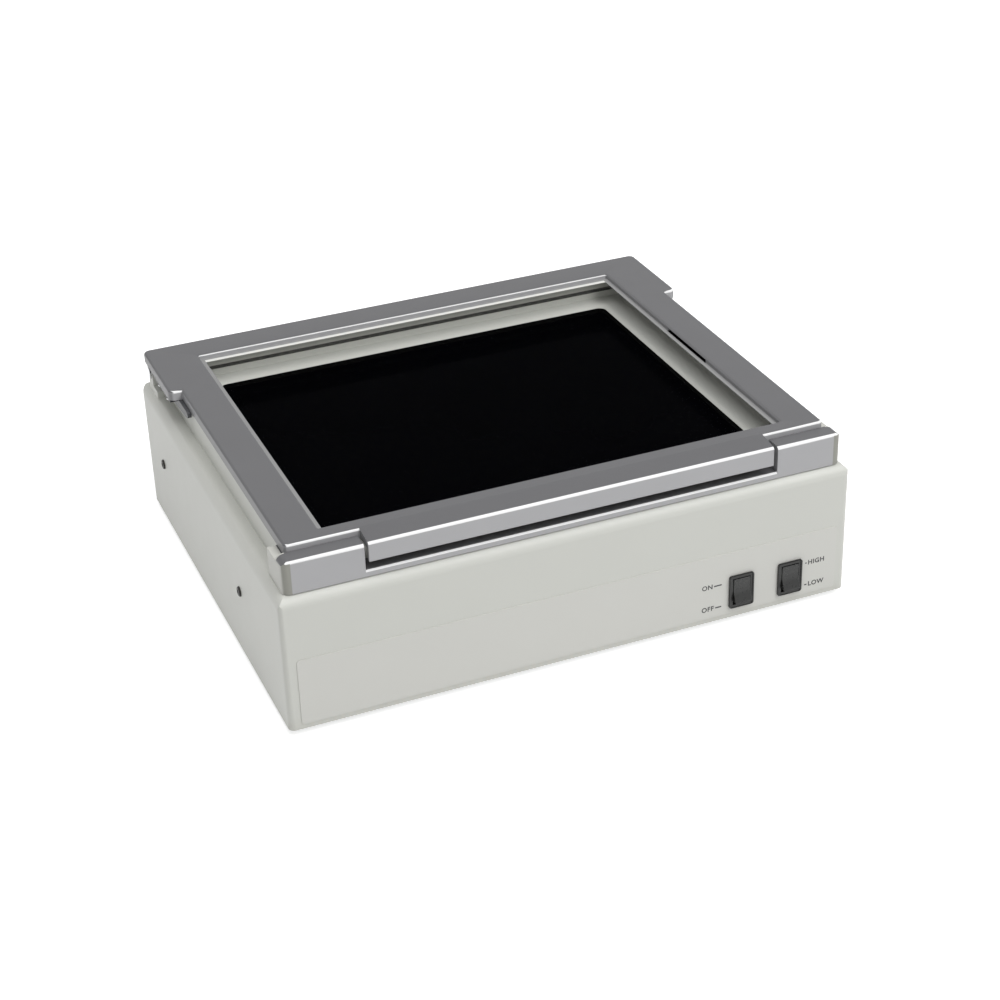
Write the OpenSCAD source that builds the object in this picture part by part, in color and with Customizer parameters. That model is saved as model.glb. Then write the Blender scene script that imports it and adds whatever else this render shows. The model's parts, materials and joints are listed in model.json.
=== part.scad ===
// Bench-top ultraviolet transilluminator with a hinged clear cover.
// X runs to the right, Y to the back and Z up; the origin is on the bench,
// under the middle of the housing. Sizes are in millimetres.

/* [Housing] */
// Width of the housing
body_w = 340; // [320:1:380]
// Depth of the housing
body_d = 283; // [270:1:320]
// Height of the housing from its lower edge to the shoulder
body_h = 82; // [78:1:110]
// Radius of the housing's upright corners and top edges
edge_r = 7; // [5:0.5:9]
// Sheet thickness of the housing
wall = 2; // [1.5:0.1:2.5]

/* [Raised deck] */
// Shoulder left free on each side of the deck
deck_side = 11; // [10.5:0.5:13]
// Distance from the front face to the deck
deck_front = 16; // [14.5:0.5:19]
// Distance from the back face to the deck
deck_back = 14; // [13.5:0.5:18]
// Rise of the deck above the shoulder
deck_rise = 16.7; // [15:0.1:20]
// Width of the rim around the sample well
rim_w = 9; // [8:0.5:10]
// Depth of the sample well below the rim
well_depth = 10.7; // [8:0.1:12]

/* [Filter] */
// Width of the well floor left on each side of the lit opening
shelf_side = 20; // [16:0.5:28]
// Width of the well floor left in front of the lit opening
shelf_front = 10; // [9:0.5:14]
// Width of the well floor left behind the lit opening
shelf_back = 15; // [9:0.5:20]
// Corner radius of the lit opening
aperture_r = 5; // [2:0.5:8]
// Thickness of the filter glass
filter_t = 4; // [3:0.5:5]
// Overlap of the filter glass under the deck on each side
filter_lap = 6; // [4:0.5:7]
// Thickness of the gasket above the filter glass
gasket_t = 1; // [0.5:0.1:2]
// Sheet thickness of the filter retainer
retainer_t = 1.2; // [0.8:0.1:2]

/* [Cover] */
// How far the cover reaches past each side of the deck
lid_side = 1; // [0.6:0.1:1.5]
// Thickness of the cover frame
lid_t = 6; // [5:0.5:8]
// Distance from the front face to the notched corners of the cover
lid_front = 15.5; // [15:0.5:20]
// Distance from the back face to the rear edge of the cover
lid_back = 4; // [1:0.5:8]
// Width of the cover's side and rear bars
lid_bar = 22; // [18:0.5:24]
// Width of the cover's front bar behind the notched corners
lid_front_bar = 10.5; // [8:0.5:16]
// Rounding of the cover's edges
lid_edge_r = 1.2; // [0.5:0.1:1.8]
// Gap between the closed cover and the deck
lid_gap = 0.3; // [0.2:0.1:0.6]
// Distance from the front face to the lip
lip_front = 2.5; // [1:0.5:5]
// Height of the lip's front face
lip_h = 10; // [8:0.5:11]
// Fall of the cover's top towards the lip
lip_drop = 2; // [0:0.5:3]
// Thickness of the lip
lip_t = 2.5; // [2:0.5:4]
// Width of the hinge ears beside the cover
ear_w = 7.5; // [7:0.5:9]
// Length of the hinge ears
ear_len = 64; // [56:1:80]
// Thickness of the clear window
window_t = 3; // [2:0.5:4]
// Overlap of the window under the frame
window_lap = 6; // [4:0.5:7]
// Length of the slot in the middle of each side bar's inner face
slot_len = 50; // [30:1:80]
// Depth of these slots into the side bars
slot_depth = 4; // [2:0.5:5]

/* [Hinge] */
// Distance from the back face to the hinge pins
hinge_back = 13; // [12.5:0.5:16]
// Distance from the underside of the cover down to the hinge pins
hinge_drop = 5; // [4.5:0.1:6]
// Radius of the hinge pins
pin_r = 2; // [1.5:0.1:2.2]
// Thickness of the hinge arms
arm_t = 2.5; // [2:0.1:3]
// Length of the hinge arms in front of the pins
arm_len = 75; // [70:1:100]
// Thickness of the hinge lugs
lug_t = 3; // [2.5:0.1:3.5]
// Thickness of the friction washers
washer_t = 0.5; // [0.3:0.1:0.8]

/* [Front bezel] */
// Distance from the front face to the bezel
bezel_front = 4; // [3:0.5:5]
// Distance from the sides of the housing to the bezel
bezel_side = 6; // [5.5:0.5:7]
// Depth of the bezel along the sides
bezel_d = 25; // [20:1:40]
// Width of the bezel's corner blocks
block_w = 41; // [30:1:60]
// Height of the corner blocks above the deck
block_rise = 3; // [1.5:0.1:5]
// Gap between the lip and each corner block
block_gap = 3.5; // [1:0.5:6]
// Height of the sill under the lip
sill_h = 5.4; // [4:0.1:6]
// Corner radius of the bezel
bezel_r = 8; // [6:0.5:10]

/* [Front panel] */
// Height of the printed front film's upper edge above the housing's lower edge
film_top = 43.5; // [36:0.5:60]
// Thickness of the front film
film_t = 0.4; // [0.2:0.1:0.6]
// Height of the switches above the housing's lower edge
switch_z = 17.3; // [16:0.1:24]
// Distance from the right side of the housing to the first switch
switch_side = 68.7; // [64:0.1:80]
// Distance between the two switches
switch_pitch = 31.4; // [26:0.1:34]
// Width of a switch bezel
switch_w = 15.5; // [14:0.1:17]
// Height of a switch bezel
switch_h = 21; // [20:0.1:24]
// Angle between the two positions of a rocker
rocker_throw = 22; // [16:1:26]

/* [Lamps] */
// Number of lamps
lamp_count = 6; // [4:1:6]
// Distance from the filter glass down to the lamps' axis
lamp_drop = 17; // [14:0.5:22]
// Radius of a lamp tube
lamp_r = 8; // [7:0.5:8]
// Distance from the side of the housing to the end face of a lamp
lamp_end = 26; // [24:0.5:34]
// Width of the flats between the reflector troughs
trough_gap = 10; // [9:0.5:14]
// Sheet thickness of the reflector
reflector_t = 1; // [0.6:0.1:1.5]
// Depth of a lamp holder
holder_t = 8.5; // [8:0.1:10]

/* [Base] */
// Height of the rubber feet
foot_h = 4; // [3:0.5:8]
// Radius of the rubber feet
foot_r = 9; // [8:0.5:14]
// Distance from the feet to the sides of the housing
foot_inset = 30; // [20:1:45]
// Sheet thickness of the base tray
tray_t = 1.5; // [1:0.1:2]
// Gap between the base tray and the housing
tray_gap = 0.3; // [0.2:0.1:0.6]
// Height of the side screws above the housing's lower edge
side_screw_z = 43.5; // [36:0.5:46]
// Distance from the front face to the front pair of side screws
side_screw_front = 80; // [60:1:100]
// Distance from the back face to the rear pair of side screws
side_screw_back = 40; // [30:1:70]

/* [Back panel] */
// Distance from the right side of the housing to the power inlet
inlet_side = 65; // [55:1:80]
// Height of the power inlet above the housing's lower edge
inlet_z = 30; // [26:1:40]
// Distance from the left side of the housing to the fan
fan_side = 75; // [60:1:90]
// Height of the fan above the housing's lower edge
fan_z = 41; // [38:1:44]
// Width of the fan frame
fan_w = 60; // [50:1:60]
// Thickness of the fan frame
fan_t = 20; // [16:1:22]

/* [Hidden] */
$fn = 48;

// Colours
off_white = [0.80, 0.80, 0.77];
cover_grey = [0.46, 0.47, 0.49];
dark_grey = [0.22, 0.22, 0.23];
rubber_black = [0.08, 0.08, 0.08];
zinc = [0.72, 0.72, 0.70];

// Fits
fit = 0.3;          // loose gap between parts that are only set side by side
pin_fit = 0.05;     // radial gap of a turning fit
slide_fit = 0.05;   // gap between faces that slide on each other
press_fit = 0.02;   // radial gap around what is pressed or screwed in
screw_fit = 0.3;    // radial gap around a screw that passes through
over = 1;           // how far a cut runs past the face that it opens

// Levels, from the bench up
base_z = foot_h;
shoulder_z = base_z + body_h;
deck_z = shoulder_z + deck_rise;
well_z = deck_z - well_depth;
glass_z = well_z - wall - gasket_t - filter_t;
lid_z = deck_z + lid_gap;
lid_top = lid_z + lid_t;
pivot_z = lid_z - hinge_drop;
tray_z = base_z + tray_t;

// Places along Y
front_y = -body_d / 2;
back_y = body_d / 2;
deck_d = body_d - deck_front - deck_back;
deck_y = (deck_front - deck_back) / 2;
pivot_y = back_y - hinge_back;
switch_x = body_w / 2 - switch_side;
inlet_x = body_w / 2 - inlet_side;
fan_x = body_w / 2 - fan_side;

// Deck and well
deck_w = body_w - 2 * deck_side;
deck_r = 6;
well_w = deck_w - 2 * rim_w;
well_d = deck_d - 2 * rim_w;
well_r = 4;

// Lit opening and filter stack
aperture_w = well_w - 2 * shelf_side;
aperture_d = well_d - shelf_front - shelf_back;
aperture_y = deck_y + (shelf_front - shelf_back) / 2;
glass_w = aperture_w + 2 * filter_lap;
glass_d = aperture_d + 2 * filter_lap;
stud_r = 3.5;
retainer_w = glass_w + 4 * stud_r + 4;
retainer_d = glass_d + 4 * stud_r + 4;
stud_x = glass_w / 2 + stud_r + fit;
stud_y = glass_d / 2 + stud_r + fit;

// Cover
lid_w = deck_w + 2 * lid_side;
bezel_w = body_w - 2 * bezel_side;
block_h = deck_rise + block_rise;
lip_w = bezel_w - 2 * block_w - 2 * block_gap;
lid_front_y = front_y + lid_front;
lid_back_y = back_y - lid_back;
lid_d = lid_back_y - lid_front_y;
lid_y = (lid_front_y + lid_back_y) / 2;
view_w = lid_w - 2 * lid_bar;
view_d = lid_d - lid_front_bar - lid_bar;
view_y = lid_y + (lid_front_bar - lid_bar) / 2;
window_w = view_w + 2 * window_lap;
window_d = view_d + 2 * window_lap;
window_gap = 0.2;
ear_r = 4;

// Hinge, measured along X from the middle
arm_x = lid_w / 2;
lug_x = arm_x + arm_t + slide_fit + washer_t;
lug_r = hinge_drop - 0.4;

// Pan-head screws: radius of the shank, then radius and height of the head
m25_r = 1.25;
m3_r = 1.5;
m4_r = 2;
m25_head = [2, 1.4];
m3_head = [2.8, 1.8];
m4_head = [3.8, 2.4];

// ---------------------------------------------------------------- shapes

// Rectangle with round corners, centred
module round_rect(w, d, r) {
    square([w - 2 * r, d], center = true);
    square([w, d - 2 * r], center = true);
    for (x = [-1, 1], y = [-1, 1])
        translate([x * (w / 2 - r), y * (d / 2 - r)]) circle(r);
}

// Plate with round corners, standing on z
module plate(w, d, h, r, z = 0, y = 0) {
    translate([0, y, z]) linear_extrude(h) round_rect(w, d, r);
}

// Block whose upright corners and top edges have one radius
module soft_box(w, d, h, r) {
    linear_extrude(h - r) round_rect(w, d, r);
    translate([0, 0, h / 2]) cube([w - 2 * r, d - 2 * r, h], center = true);
    for (s = [-1, 1]) {
        translate([0, s * (d / 2 - r), h - r]) rotate([0, 90, 0])
            cylinder(h = w - 2 * r, r = r, center = true);
        translate([s * (w / 2 - r), 0, h - r]) rotate([90, 0, 0])
            cylinder(h = d - 2 * r, r = r, center = true);
        for (t = [-1, 1])
            translate([s * (w / 2 - r), t * (d / 2 - r), h - r]) sphere(r);
    }
}

// Cuts the material outside a rounding from an edge along X through the origin,
// where the part lies towards -Y and -Z
module edge_cut(len, r) {
    translate([0, -r, -r]) difference() {
        translate([-len / 2, 0, 0]) cube([len, r + over, r + over]);
        rotate([0, 90, 0]) cylinder(h = len + 2 * over, r = r, center = true);
    }
}

// The same cut on all four top edges of a rectangle
module rim_cuts(w, d, r) {
    for (s = [0, 180]) {
        rotate([0, 0, s]) translate([0, d / 2, 0]) edge_cut(w + 2 * over, r);
        rotate([0, 0, s + 90]) translate([0, w / 2, 0]) edge_cut(d + 2 * over, r);
    }
}

// The same cut on the four top edges around an opening
module opening_cuts(w, d, r) {
    for (s = [0, 180]) {
        rotate([0, 0, s]) translate([0, -d / 2, 0]) edge_cut(w, r);
        rotate([0, 0, s + 90]) translate([0, -w / 2, 0]) edge_cut(d, r);
    }
}

// Extrudes a drawing in Y and Z along X, centred
module along_x(len) {
    rotate([90, 0, 90]) linear_extrude(len, center = true) children();
}

// Cylinder along X, from x = 0 towards +X
module rod_x(len, r) {
    rotate([0, 90, 0]) cylinder(h = len, r = r);
}

// Cylinder along Y, from y = 0 towards +Y
module rod_y(len, r) {
    rotate([-90, 0, 0]) cylinder(h = len, r = r);
}

// Pan-head screw: the head is on +Z with its seat at z = 0, the shank points down
module screw(shank_r, len, head) {
    translate([0, 0, -len]) cylinder(h = len + head[1] / 2, r = shank_r);
    difference() {
        union() {
            cylinder(h = head[1] * 0.6, r = head[0]);
            translate([0, 0, head[1] * 0.6])
                cylinder(h = head[1] * 0.4, r1 = head[0], r2 = head[0] * 0.7);
        }
        for (a = [0, 90]) rotate([0, 0, a])
            translate([0, 0, head[1]]) cube([head[0], 0.6, head[1]], center = true);
    }
}

// Puts a copy of the children on the left and on the right
module both_sides() {
    children();
    mirror([1, 0, 0]) children();
}

// Places of repeated parts
function lamp_y(i) = aperture_y + (i - (lamp_count - 1) / 2) * lamp_pitch;

module at_feet() {
    for (x = [-1, 1], y = [-1, 1])
        translate([x * (body_w / 2 - foot_inset), y * (body_d / 2 - foot_inset), 0]) children();
}

module at_side_screws() {
    for (y = [front_y + side_screw_front, back_y - side_screw_back])
        translate([body_w / 2, y, base_z + side_screw_z]) children();
}

module at_studs() {
    for (x = [-1, 0, 1], y = [-1, 1])
        translate([x * stud_x, aperture_y + y * stud_y, 0]) children();
    for (x = [-1, 1]) translate([x * stud_x, aperture_y, 0]) children();
}

bezel_screw_y = (bezel_front + deck_front) / 2;
module at_bezel_screws() {
    for (x = [bezel_w / 2 - 12, lip_w / 2 + block_gap + 9])
        translate([x, front_y + bezel_screw_y, 0]) children();
}

bracket_foot = [17.5, 4.5];     // length and height of the hinge bracket's foot
bracket_back = 3.5;             // how far the foot reaches behind the pin
bracket_x = deck_w / 2 + fit;
module at_bracket_screws() {
    for (y = [3.5, bracket_foot[0] - 4.5])
        translate([bracket_x + m25_r + 0.45, pivot_y + bracket_back - bracket_foot[0] + y, 0]) children();
}

arm_flange = [4.5, ear_len - 30, 2];    // size of the hinge arm's top flange
arm_flange_y = lid_back_y - ear_len + 3;
module at_arm_screws() {
    for (y = [7, arm_flange[1] - 7])
        translate([arm_x + arm_t + 2.5, arm_flange_y + y, 0]) children();
}

module at_window_screws() {
    for (x = [-1, 1], s = [-1, 1], y = [slot_len / 2 + 7, view_d / 2 - 20])
        translate([x * (view_w / 2 + window_lap / 2), view_y + s * y, 0]) children();
}

module at_switches() {
    for (i = [0, 1]) translate([switch_x + i * switch_pitch, front_y, base_z + switch_z]) children();
}

inlet_flange = [50, 32, 3];
inlet_body = [28, 30, 22];
inlet_screw_pitch = 40;
module at_inlet() {
    translate([inlet_x, back_y, base_z + inlet_z]) children();
}

fan_pitch = fan_w - 10;
module at_fan() {
    translate([-fan_x, back_y - wall, base_z + fan_z]) children();
}
module at_fan_screws() {
    at_fan() for (x = [-1, 1], z = [-1, 1])
        translate([x * fan_pitch / 2, 0, z * fan_pitch / 2]) children();
}

// ---------------------------------------------------------------- housing

deck_cavity_z = shoulder_z - 2 * wall;

module housing_cover() {
    color(off_white) difference() {
        union() {
            difference() {
                union() {
                    translate([0, 0, base_z]) soft_box(body_w, body_d, body_h, edge_r);
                    plate(deck_w, deck_d, deck_rise + wall, deck_r, shoulder_z - wall, deck_y);
                }
                translate([0, 0, base_z - over])
                    soft_box(body_w - 2 * wall, body_d - 2 * wall, body_h - wall + over, edge_r - wall);
                plate(deck_w - 2 * wall, deck_d - 2 * wall, deck_z - wall - deck_cavity_z,
                      deck_r - wall, deck_cavity_z, deck_y);
            }
            plate(well_w + 2 * wall, well_d + 2 * wall, well_depth + wall / 2, well_r + wall,
                  well_z - wall, deck_y);
            at_studs() translate([0, 0, glass_z]) cylinder(h = filter_t + gasket_t + wall / 2, r = stud_r);
        }
        plate(well_w, well_d, well_depth + over, well_r, well_z, deck_y);
        plate(aperture_w, aperture_d, wall + 2 * over, aperture_r, well_z - wall - over, aperture_y);
        at_studs() translate([0, 0, glass_z - over])
            cylinder(h = filter_t + gasket_t + over, r = m3_r + press_fit);
        both_sides() {
            at_side_screws() translate([-wall - over, 0, 0]) rod_x(wall + 2 * over, m4_r + screw_fit);
            at_bezel_screws() translate([0, 0, shoulder_z - wall - over])
                cylinder(h = wall + 2 * over, r = m3_r + screw_fit);
            at_bracket_screws() translate([0, 0, shoulder_z - wall - over])
                cylinder(h = wall + 2 * over, r = m25_r + screw_fit);
        }
        at_switches() cube([switch_body[0] + fit, 4 * wall, switch_body[1] + fit], center = true);
        at_inlet() {
            cube([inlet_body[0] + fit, 4 * wall, inlet_body[1] + fit], center = true);
            for (x = [-1, 1]) translate([x * inlet_screw_pitch / 2, -2 * wall, 0])
                rod_y(4 * wall, m3_r + screw_fit);
        }
        at_fan() intersection() {
            translate([0, -over, 0]) rod_y(wall + 2 * over, fan_w / 2 - 3.5);
            for (i = [-4:4]) translate([i * 6, 0, 0]) cube([3, 4 * wall, fan_w], center = true);
        }
        at_fan_screws() translate([0, -over, 0]) rod_y(wall + 2 * over, m4_r + screw_fit);
    }
}

vent_len = 46;
vent_x = [body_w / 2 - 66, body_w / 2 - 130];  // middles of the two rows of air slots
tray_flange = side_screw_z + 8.5;
module base_tray() {
    w = body_w - 2 * wall - 2 * tray_gap;
    d = body_d - 2 * wall - 2 * tray_gap;
    r = edge_r - wall;
    color(zinc) difference() {
        union() {
            plate(w, d, tray_t, r, base_z);
            both_sides() translate([w / 2 - tray_t, -d / 2 + r, base_z])
                cube([tray_t, d - 2 * r, tray_flange]);
            for (s = [-1, 1]) translate([0, s * (d - tray_t) / 2, base_z + 3])
                cube([w - 2 * r, tray_t, 6], center = true);
        }
        at_feet() translate([0, 0, base_z - over]) cylinder(h = tray_t + 2 * over, r = m4_r + screw_fit);
        both_sides() at_side_screws() translate([-2 * wall - tray_t, 0, 0])
            rod_x(2 * wall + tray_t, side_nut_r);
        for (x = vent_x, i = [-4:4])
            translate([x, i * 16 + 12, base_z]) linear_extrude(3 * tray_t, center = true)
                round_rect(vent_len, 5, 2.4);
    }
}

module rubber_feet() {
    color(rubber_black) at_feet() difference() {
        union() {
            cylinder(h = 1.2, r1 = foot_r - 1, r2 = foot_r, $fn = 48);
            translate([0, 0, 1.2]) cylinder(h = foot_h - 1.2, r = foot_r);
        }
        translate([0, 0, -over]) cylinder(h = foot_h + 2 * over, r = m4_r + screw_fit);
        translate([0, 0, -over]) cylinder(h = foot_h - 1 + over, r = m4_head[0] + fit);
    }
}

module foot_screws() {
    color(zinc) at_feet() translate([0, 0, foot_h - 1]) rotate([180, 0, 0])
        screw(m4_r, 1 + tray_t + nut_h, m4_head);
}

nut_h = 3.2;
module foot_nuts() {
    color(zinc) at_feet() translate([0, 0, tray_z]) difference() {
        cylinder(h = nut_h, r = 4, $fn = 6);
        translate([0, 0, -over]) cylinder(h = nut_h + 2 * over, r = m4_r + press_fit);
    }
}

side_nut_r = 3.2;
module side_screws() {
    color(rubber_black) both_sides() at_side_screws() rotate([0, 90, 0])
        screw(m4_r, 9, [3, 1.2]);
}

module side_nuts() {
    color(zinc) both_sides() at_side_screws() translate([-wall - tray_gap, 0, 0]) difference() {
        union() {
            translate([-tray_t, 0, 0]) rod_x(tray_t, side_nut_r);
            translate([-tray_t - 2.5, 0, 0]) rod_x(2.5, 4.2);
        }
        translate([-tray_t - 3.5, 0, 0]) rod_x(tray_t + 5, m4_r + press_fit);
    }
}

// ---------------------------------------------------------------- front

module front_film() {
    bottom = 3;
    color(off_white) difference() {
        translate([0, front_y, base_z + (film_top + bottom) / 2]) rotate([90, 0, 0])
            linear_extrude(film_t) round_rect(body_w - 2 * edge_r, film_top - bottom, 1.5);
        at_switches() cube([switch_body[0] + fit, 4 * wall, switch_body[1] + fit], center = true);
    }
}

module bezel_outline(inset) {
    y0 = front_y + bezel_front;
    difference() {
        translate([0, y0 + body_d / 2])
            round_rect(bezel_w - 2 * inset, body_d - 2 * inset, bezel_r - inset);
        translate([0, y0 + bezel_d + body_d / 2]) square([2 * body_w, body_d], center = true);
    }
}

module front_bezel() {
    y0 = front_y + bezel_front;
    gap_w = lip_w + 2 * block_gap;
    riser = lid_front - bezel_front - 1;
    low_h = deck_rise - 0.3;
    skin = 2.5;
    color(cover_grey) difference() {
        union() {
            difference() {
                translate([0, 0, shoulder_z]) linear_extrude(block_h) bezel_outline(0);
                // hollow of the blocks
                difference() {
                    translate([0, 0, shoulder_z - over]) linear_extrude(low_h - skin + over)
                        bezel_outline(skin);
                    both_sides() at_bezel_screws() translate([0, 0, shoulder_z])
                        cylinder(h = low_h, r = m3_r + 1.6);
                    translate([0, y0, shoulder_z])
                        cube([gap_w + 2 * skin, 2 * bezel_d, 2 * low_h], center = true);
                }
                // room for the lid behind the risers
                translate([0, y0 + riser + bezel_d, shoulder_z + low_h + block_h])
                    cube([2 * body_w, 2 * bezel_d, 2 * block_h], center = true);
                // gap for the lip and the fingers
                translate([0, y0, shoulder_z + sill_h + block_h])
                    cube([gap_w, 4 * bezel_d, 2 * block_h], center = true);
                translate([0, y0 + riser / 2, shoulder_z + block_h]) rim_cuts(bezel_w, riser, lid_edge_r);
            }
        }
        // seat around the deck
        plate(deck_w + fit, deck_d + fit, deck_rise + block_h, deck_r, shoulder_z - over, deck_y);
        // the sill's front edge
        translate([0, y0, shoulder_z + sill_h]) rotate([0, 0, 180]) edge_cut(gap_w, lid_edge_r);
        both_sides() at_bezel_screws() translate([0, 0, shoulder_z - over])
            cylinder(h = 8 + over, r = m3_r + press_fit);
    }
}

module bezel_screws() {
    color(zinc) both_sides() at_bezel_screws() translate([0, 0, shoulder_z - wall]) rotate([180, 0, 0])
        screw(m3_r, wall + 7, m3_head);
}

// Moulded case of a rocker switch behind its bezel: width, height, depth
switch_body = [12.8, 18.8, 20];
switch_face = film_t + 1.6;     // how far the switch bezel stands proud of the housing
rocker_w = 10.6;
rocker_gap = 0.2;
rocker_half = 7.4;
rocker_pocket = [rocker_w + 2 * rocker_gap, 17.2, 12.6];
rocker_pivot = 4;               // depth of the rocker's pins behind the bezel's face
rocker_pin_r = 1.2;

// Switch case with its pocket; the origin is on the housing's front face
module switch_case() {
    color(rubber_black) difference() {
        union() {
            translate([0, -film_t, 0]) rotate([90, 0, 0])
                linear_extrude(switch_face - film_t) round_rect(switch_w, switch_h, 1.2);
            translate([-switch_body[0] / 2, -switch_face + 0.5, -switch_body[1] / 2])
                cube([switch_body[0], switch_body[2] + switch_face - 0.5, switch_body[1]]);
        }
        translate([-rocker_pocket[0] / 2, -switch_face - over, -rocker_pocket[1] / 2])
            cube([rocker_pocket[0], rocker_pocket[2] + over, rocker_pocket[1]]);
        translate([-switch_w / 2, -switch_face + rocker_pivot, 0]) rod_x(switch_w, rocker_pin_r + pin_fit);
        for (z = [-6.5, 0, 6.5]) translate([0, switch_body[2] - 3, z]) cube([5, 7, 1], center = true);
        for (s = [0, 180]) rotate([0, s, 0]) translate([0, -switch_face, switch_h / 2])
            rotate([90, 0, 0]) edge_cut(switch_w + over, 0.8);
    }
}

// Rocker resting with its upper end pressed in
module rocker() {
    color(rubber_black) translate([0, -switch_face + rocker_pivot, 0]) rotate([-rocker_throw / 2, 0, 0]) {
        difference() {
            along_x(rocker_w) polygon([
                [-5.6, -rocker_half], [-5.1, -rocker_half / 2], [-4.0, -0.8], [-3.85, 0], [-4.0, 0.8],
                [-5.1, rocker_half / 2], [-5.6, rocker_half],
                [-1.8, rocker_half], [4.2, 3.4], [4.8, 2.4], [4.8, -2.4], [4.2, -3.4], [-1.8, -rocker_half]
            ]);
            for (s = [-1, 1]) translate([0, 2.4, s * 2.2]) cube([rocker_w - 3, 4, 1.6], center = true);
        }
        translate([-switch_body[0] / 2 + 0.1, 0, 0]) rod_x(switch_body[0] - 0.2, rocker_pin_r);
    }
}

module power_switch_body() {
    translate([switch_x, front_y, base_z + switch_z]) switch_case();
}
module intensity_switch_body() {
    translate([switch_x + switch_pitch, front_y, base_z + switch_z]) switch_case();
}
module power_rocker() {
    translate([switch_x, front_y, base_z + switch_z]) rocker();
}
module intensity_rocker() {
    translate([switch_x + switch_pitch, front_y, base_z + switch_z]) rocker();
}

module switch_terminals() {
    color([0.75, 0.62, 0.3]) at_switches() for (z = [-6.5, 0, 6.5])
        translate([0, switch_body[2] + 1.5, z]) difference() {
            cube([4.8, 14, 0.8], center = true);
            translate([0, 4, -over]) cylinder(h = 2 * over, r = 0.8);
        }
}

// ---------------------------------------------------------------- filter

module filter_glass() {
    color([0.02, 0.02, 0.04]) plate(glass_w, glass_d, filter_t, 2, glass_z, aperture_y);
}

module filter_gasket() {
    color(rubber_black) difference() {
        plate(glass_w, glass_d, gasket_t, 2, glass_z + filter_t, aperture_y);
        plate(aperture_w + 2, aperture_d + 2, gasket_t + 2 * over, aperture_r,
              glass_z + filter_t - over, aperture_y);
    }
}

module filter_retainer() {
    flange = 4;
    color(zinc) difference() {
        union() {
            plate(retainer_w, retainer_d, retainer_t, 3, glass_z - retainer_t, aperture_y);
            difference() {
                plate(retainer_w, retainer_d, flange, 3, glass_z - flange, aperture_y);
                plate(retainer_w - 2 * retainer_t, retainer_d - 2 * retainer_t, flange + 2 * over,
                      3 - retainer_t, glass_z - flange - over, aperture_y);
            }
        }
        plate(aperture_w, aperture_d, flange + 2 * over, aperture_r, glass_z - flange - over, aperture_y);
        at_studs() translate([0, 0, glass_z - flange]) cylinder(h = flange + over, r = m3_r + screw_fit);
    }
}

module retainer_screws() {
    color(zinc) at_studs() translate([0, 0, glass_z - retainer_t]) rotate([180, 0, 0])
        screw(m3_r, retainer_t + filter_t, m3_head);
}

// ---------------------------------------------------------------- lamps

lamp_axis = glass_z - lamp_drop;
lamp_len = body_w - 2 * lamp_end;
lamp_pitch = (aperture_d + 6) / lamp_count;
trough_r = (lamp_pitch - trough_gap) / 2;
rack_t = 1.5;
rack_x = lamp_len / 2 + fit + holder_t;
rack_half = (lamp_count - 1) / 2 * lamp_pitch + lamp_r + 5;

tab_x = lamp_len / 2 - 4;        // where the reflector is screwed down
tab_w = 7;
module at_tabs() {
    for (i = [0:lamp_count - 2])
        translate([tab_x, lamp_y(i + 0.5), lamp_axis - reflector_t]) children();
}

module reflector() {
    color([0.85, 0.86, 0.88]) difference() {
        reflector_sheet();
        both_sides() at_tabs() translate([0, 0, -over])
            cylinder(h = reflector_t + 2 * over, r = m25_r + screw_fit);
    }
}

// A row of half-round troughs joined by flats, with a turned-up flange at each end
module reflector_sheet() {
    outer = trough_r + reflector_t;
    half = (lamp_count - 1) / 2 * lamp_pitch + trough_r;
    rim = 4;
    translate([0, 0, lamp_axis]) along_x(lamp_len - 2 * fit) {
        for (i = [0:lamp_count - 1]) translate([lamp_y(i), 0]) difference() {
            circle(outer);
            circle(trough_r);
            translate([-2 * outer, 0]) square([4 * outer, 2 * outer]);
        }
        for (i = [0:lamp_count - 2])
            translate([lamp_y(i) + trough_r, -reflector_t]) square([trough_gap, reflector_t]);
        for (s = [-1, 1]) translate([aperture_y + s * (half + rim / 2), 0]) {
            translate([0, -reflector_t / 2]) square([rim, reflector_t], center = true);
            translate([s * (rim - reflector_t) / 2, rim - reflector_t])
                square([reflector_t, 2 * rim], center = true);
        }
    }
}

module lamp_brackets() {
    top = lamp_axis + lamp_r + 1;
    foot_w = 9;
    color(zinc) both_sides() translate([rack_x, aperture_y, 0]) difference() {
        union() {
            translate([0, -rack_half, tray_z]) cube([rack_t, 2 * rack_half, top - tray_z]);
            translate([0, -rack_half, tray_z]) cube([foot_w, 2 * rack_half, rack_t]);
            translate([-rack_x, -aperture_y, 0]) at_tabs() translate([-4, -tab_w / 2, -rack_t])
                cube([rack_x - tab_x + 4 + rack_t / 2, tab_w, rack_t]);
        }
        translate([-rack_x, -aperture_y, 0]) at_tabs() translate([0, 0, -rack_t - over])
            cylinder(h = rack_t + 2 * over, r = m25_r + press_fit);
        for (i = [0:lamp_count - 1]) translate([-over, lamp_y(i) - aperture_y, lamp_axis - 9])
            rod_x(rack_t + 2 * over, 2.6);
        for (i = [0:lamp_count - 2]) translate([0, lamp_y(i + 0.5) - aperture_y, tray_z + 26])
            cube([3 * rack_t, lamp_pitch - 12, 24], center = true);
    }
}

module reflector_screws() {
    color(zinc) both_sides() at_tabs() translate([0, 0, reflector_t])
        screw(m25_r, reflector_t + rack_t + 2, m25_head);
}

module lamp_holders() {
    color([0.9, 0.9, 0.88]) both_sides() for (i = [0:lamp_count - 1])
        translate([rack_x - holder_t, lamp_y(i), lamp_axis]) difference() {
            union() {
                translate([0, -lamp_r, -14]) cube([holder_t, 2 * lamp_r, 14]);
                rod_x(holder_t, lamp_r);
                translate([0, 0, -9]) rod_x(holder_t + rack_t + 1, 2.5);
            }
            for (s = [-1, 1]) translate([-over, s * 2.5, 0]) rod_x(7.6 + over, 1.4);
        }
}

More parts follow.
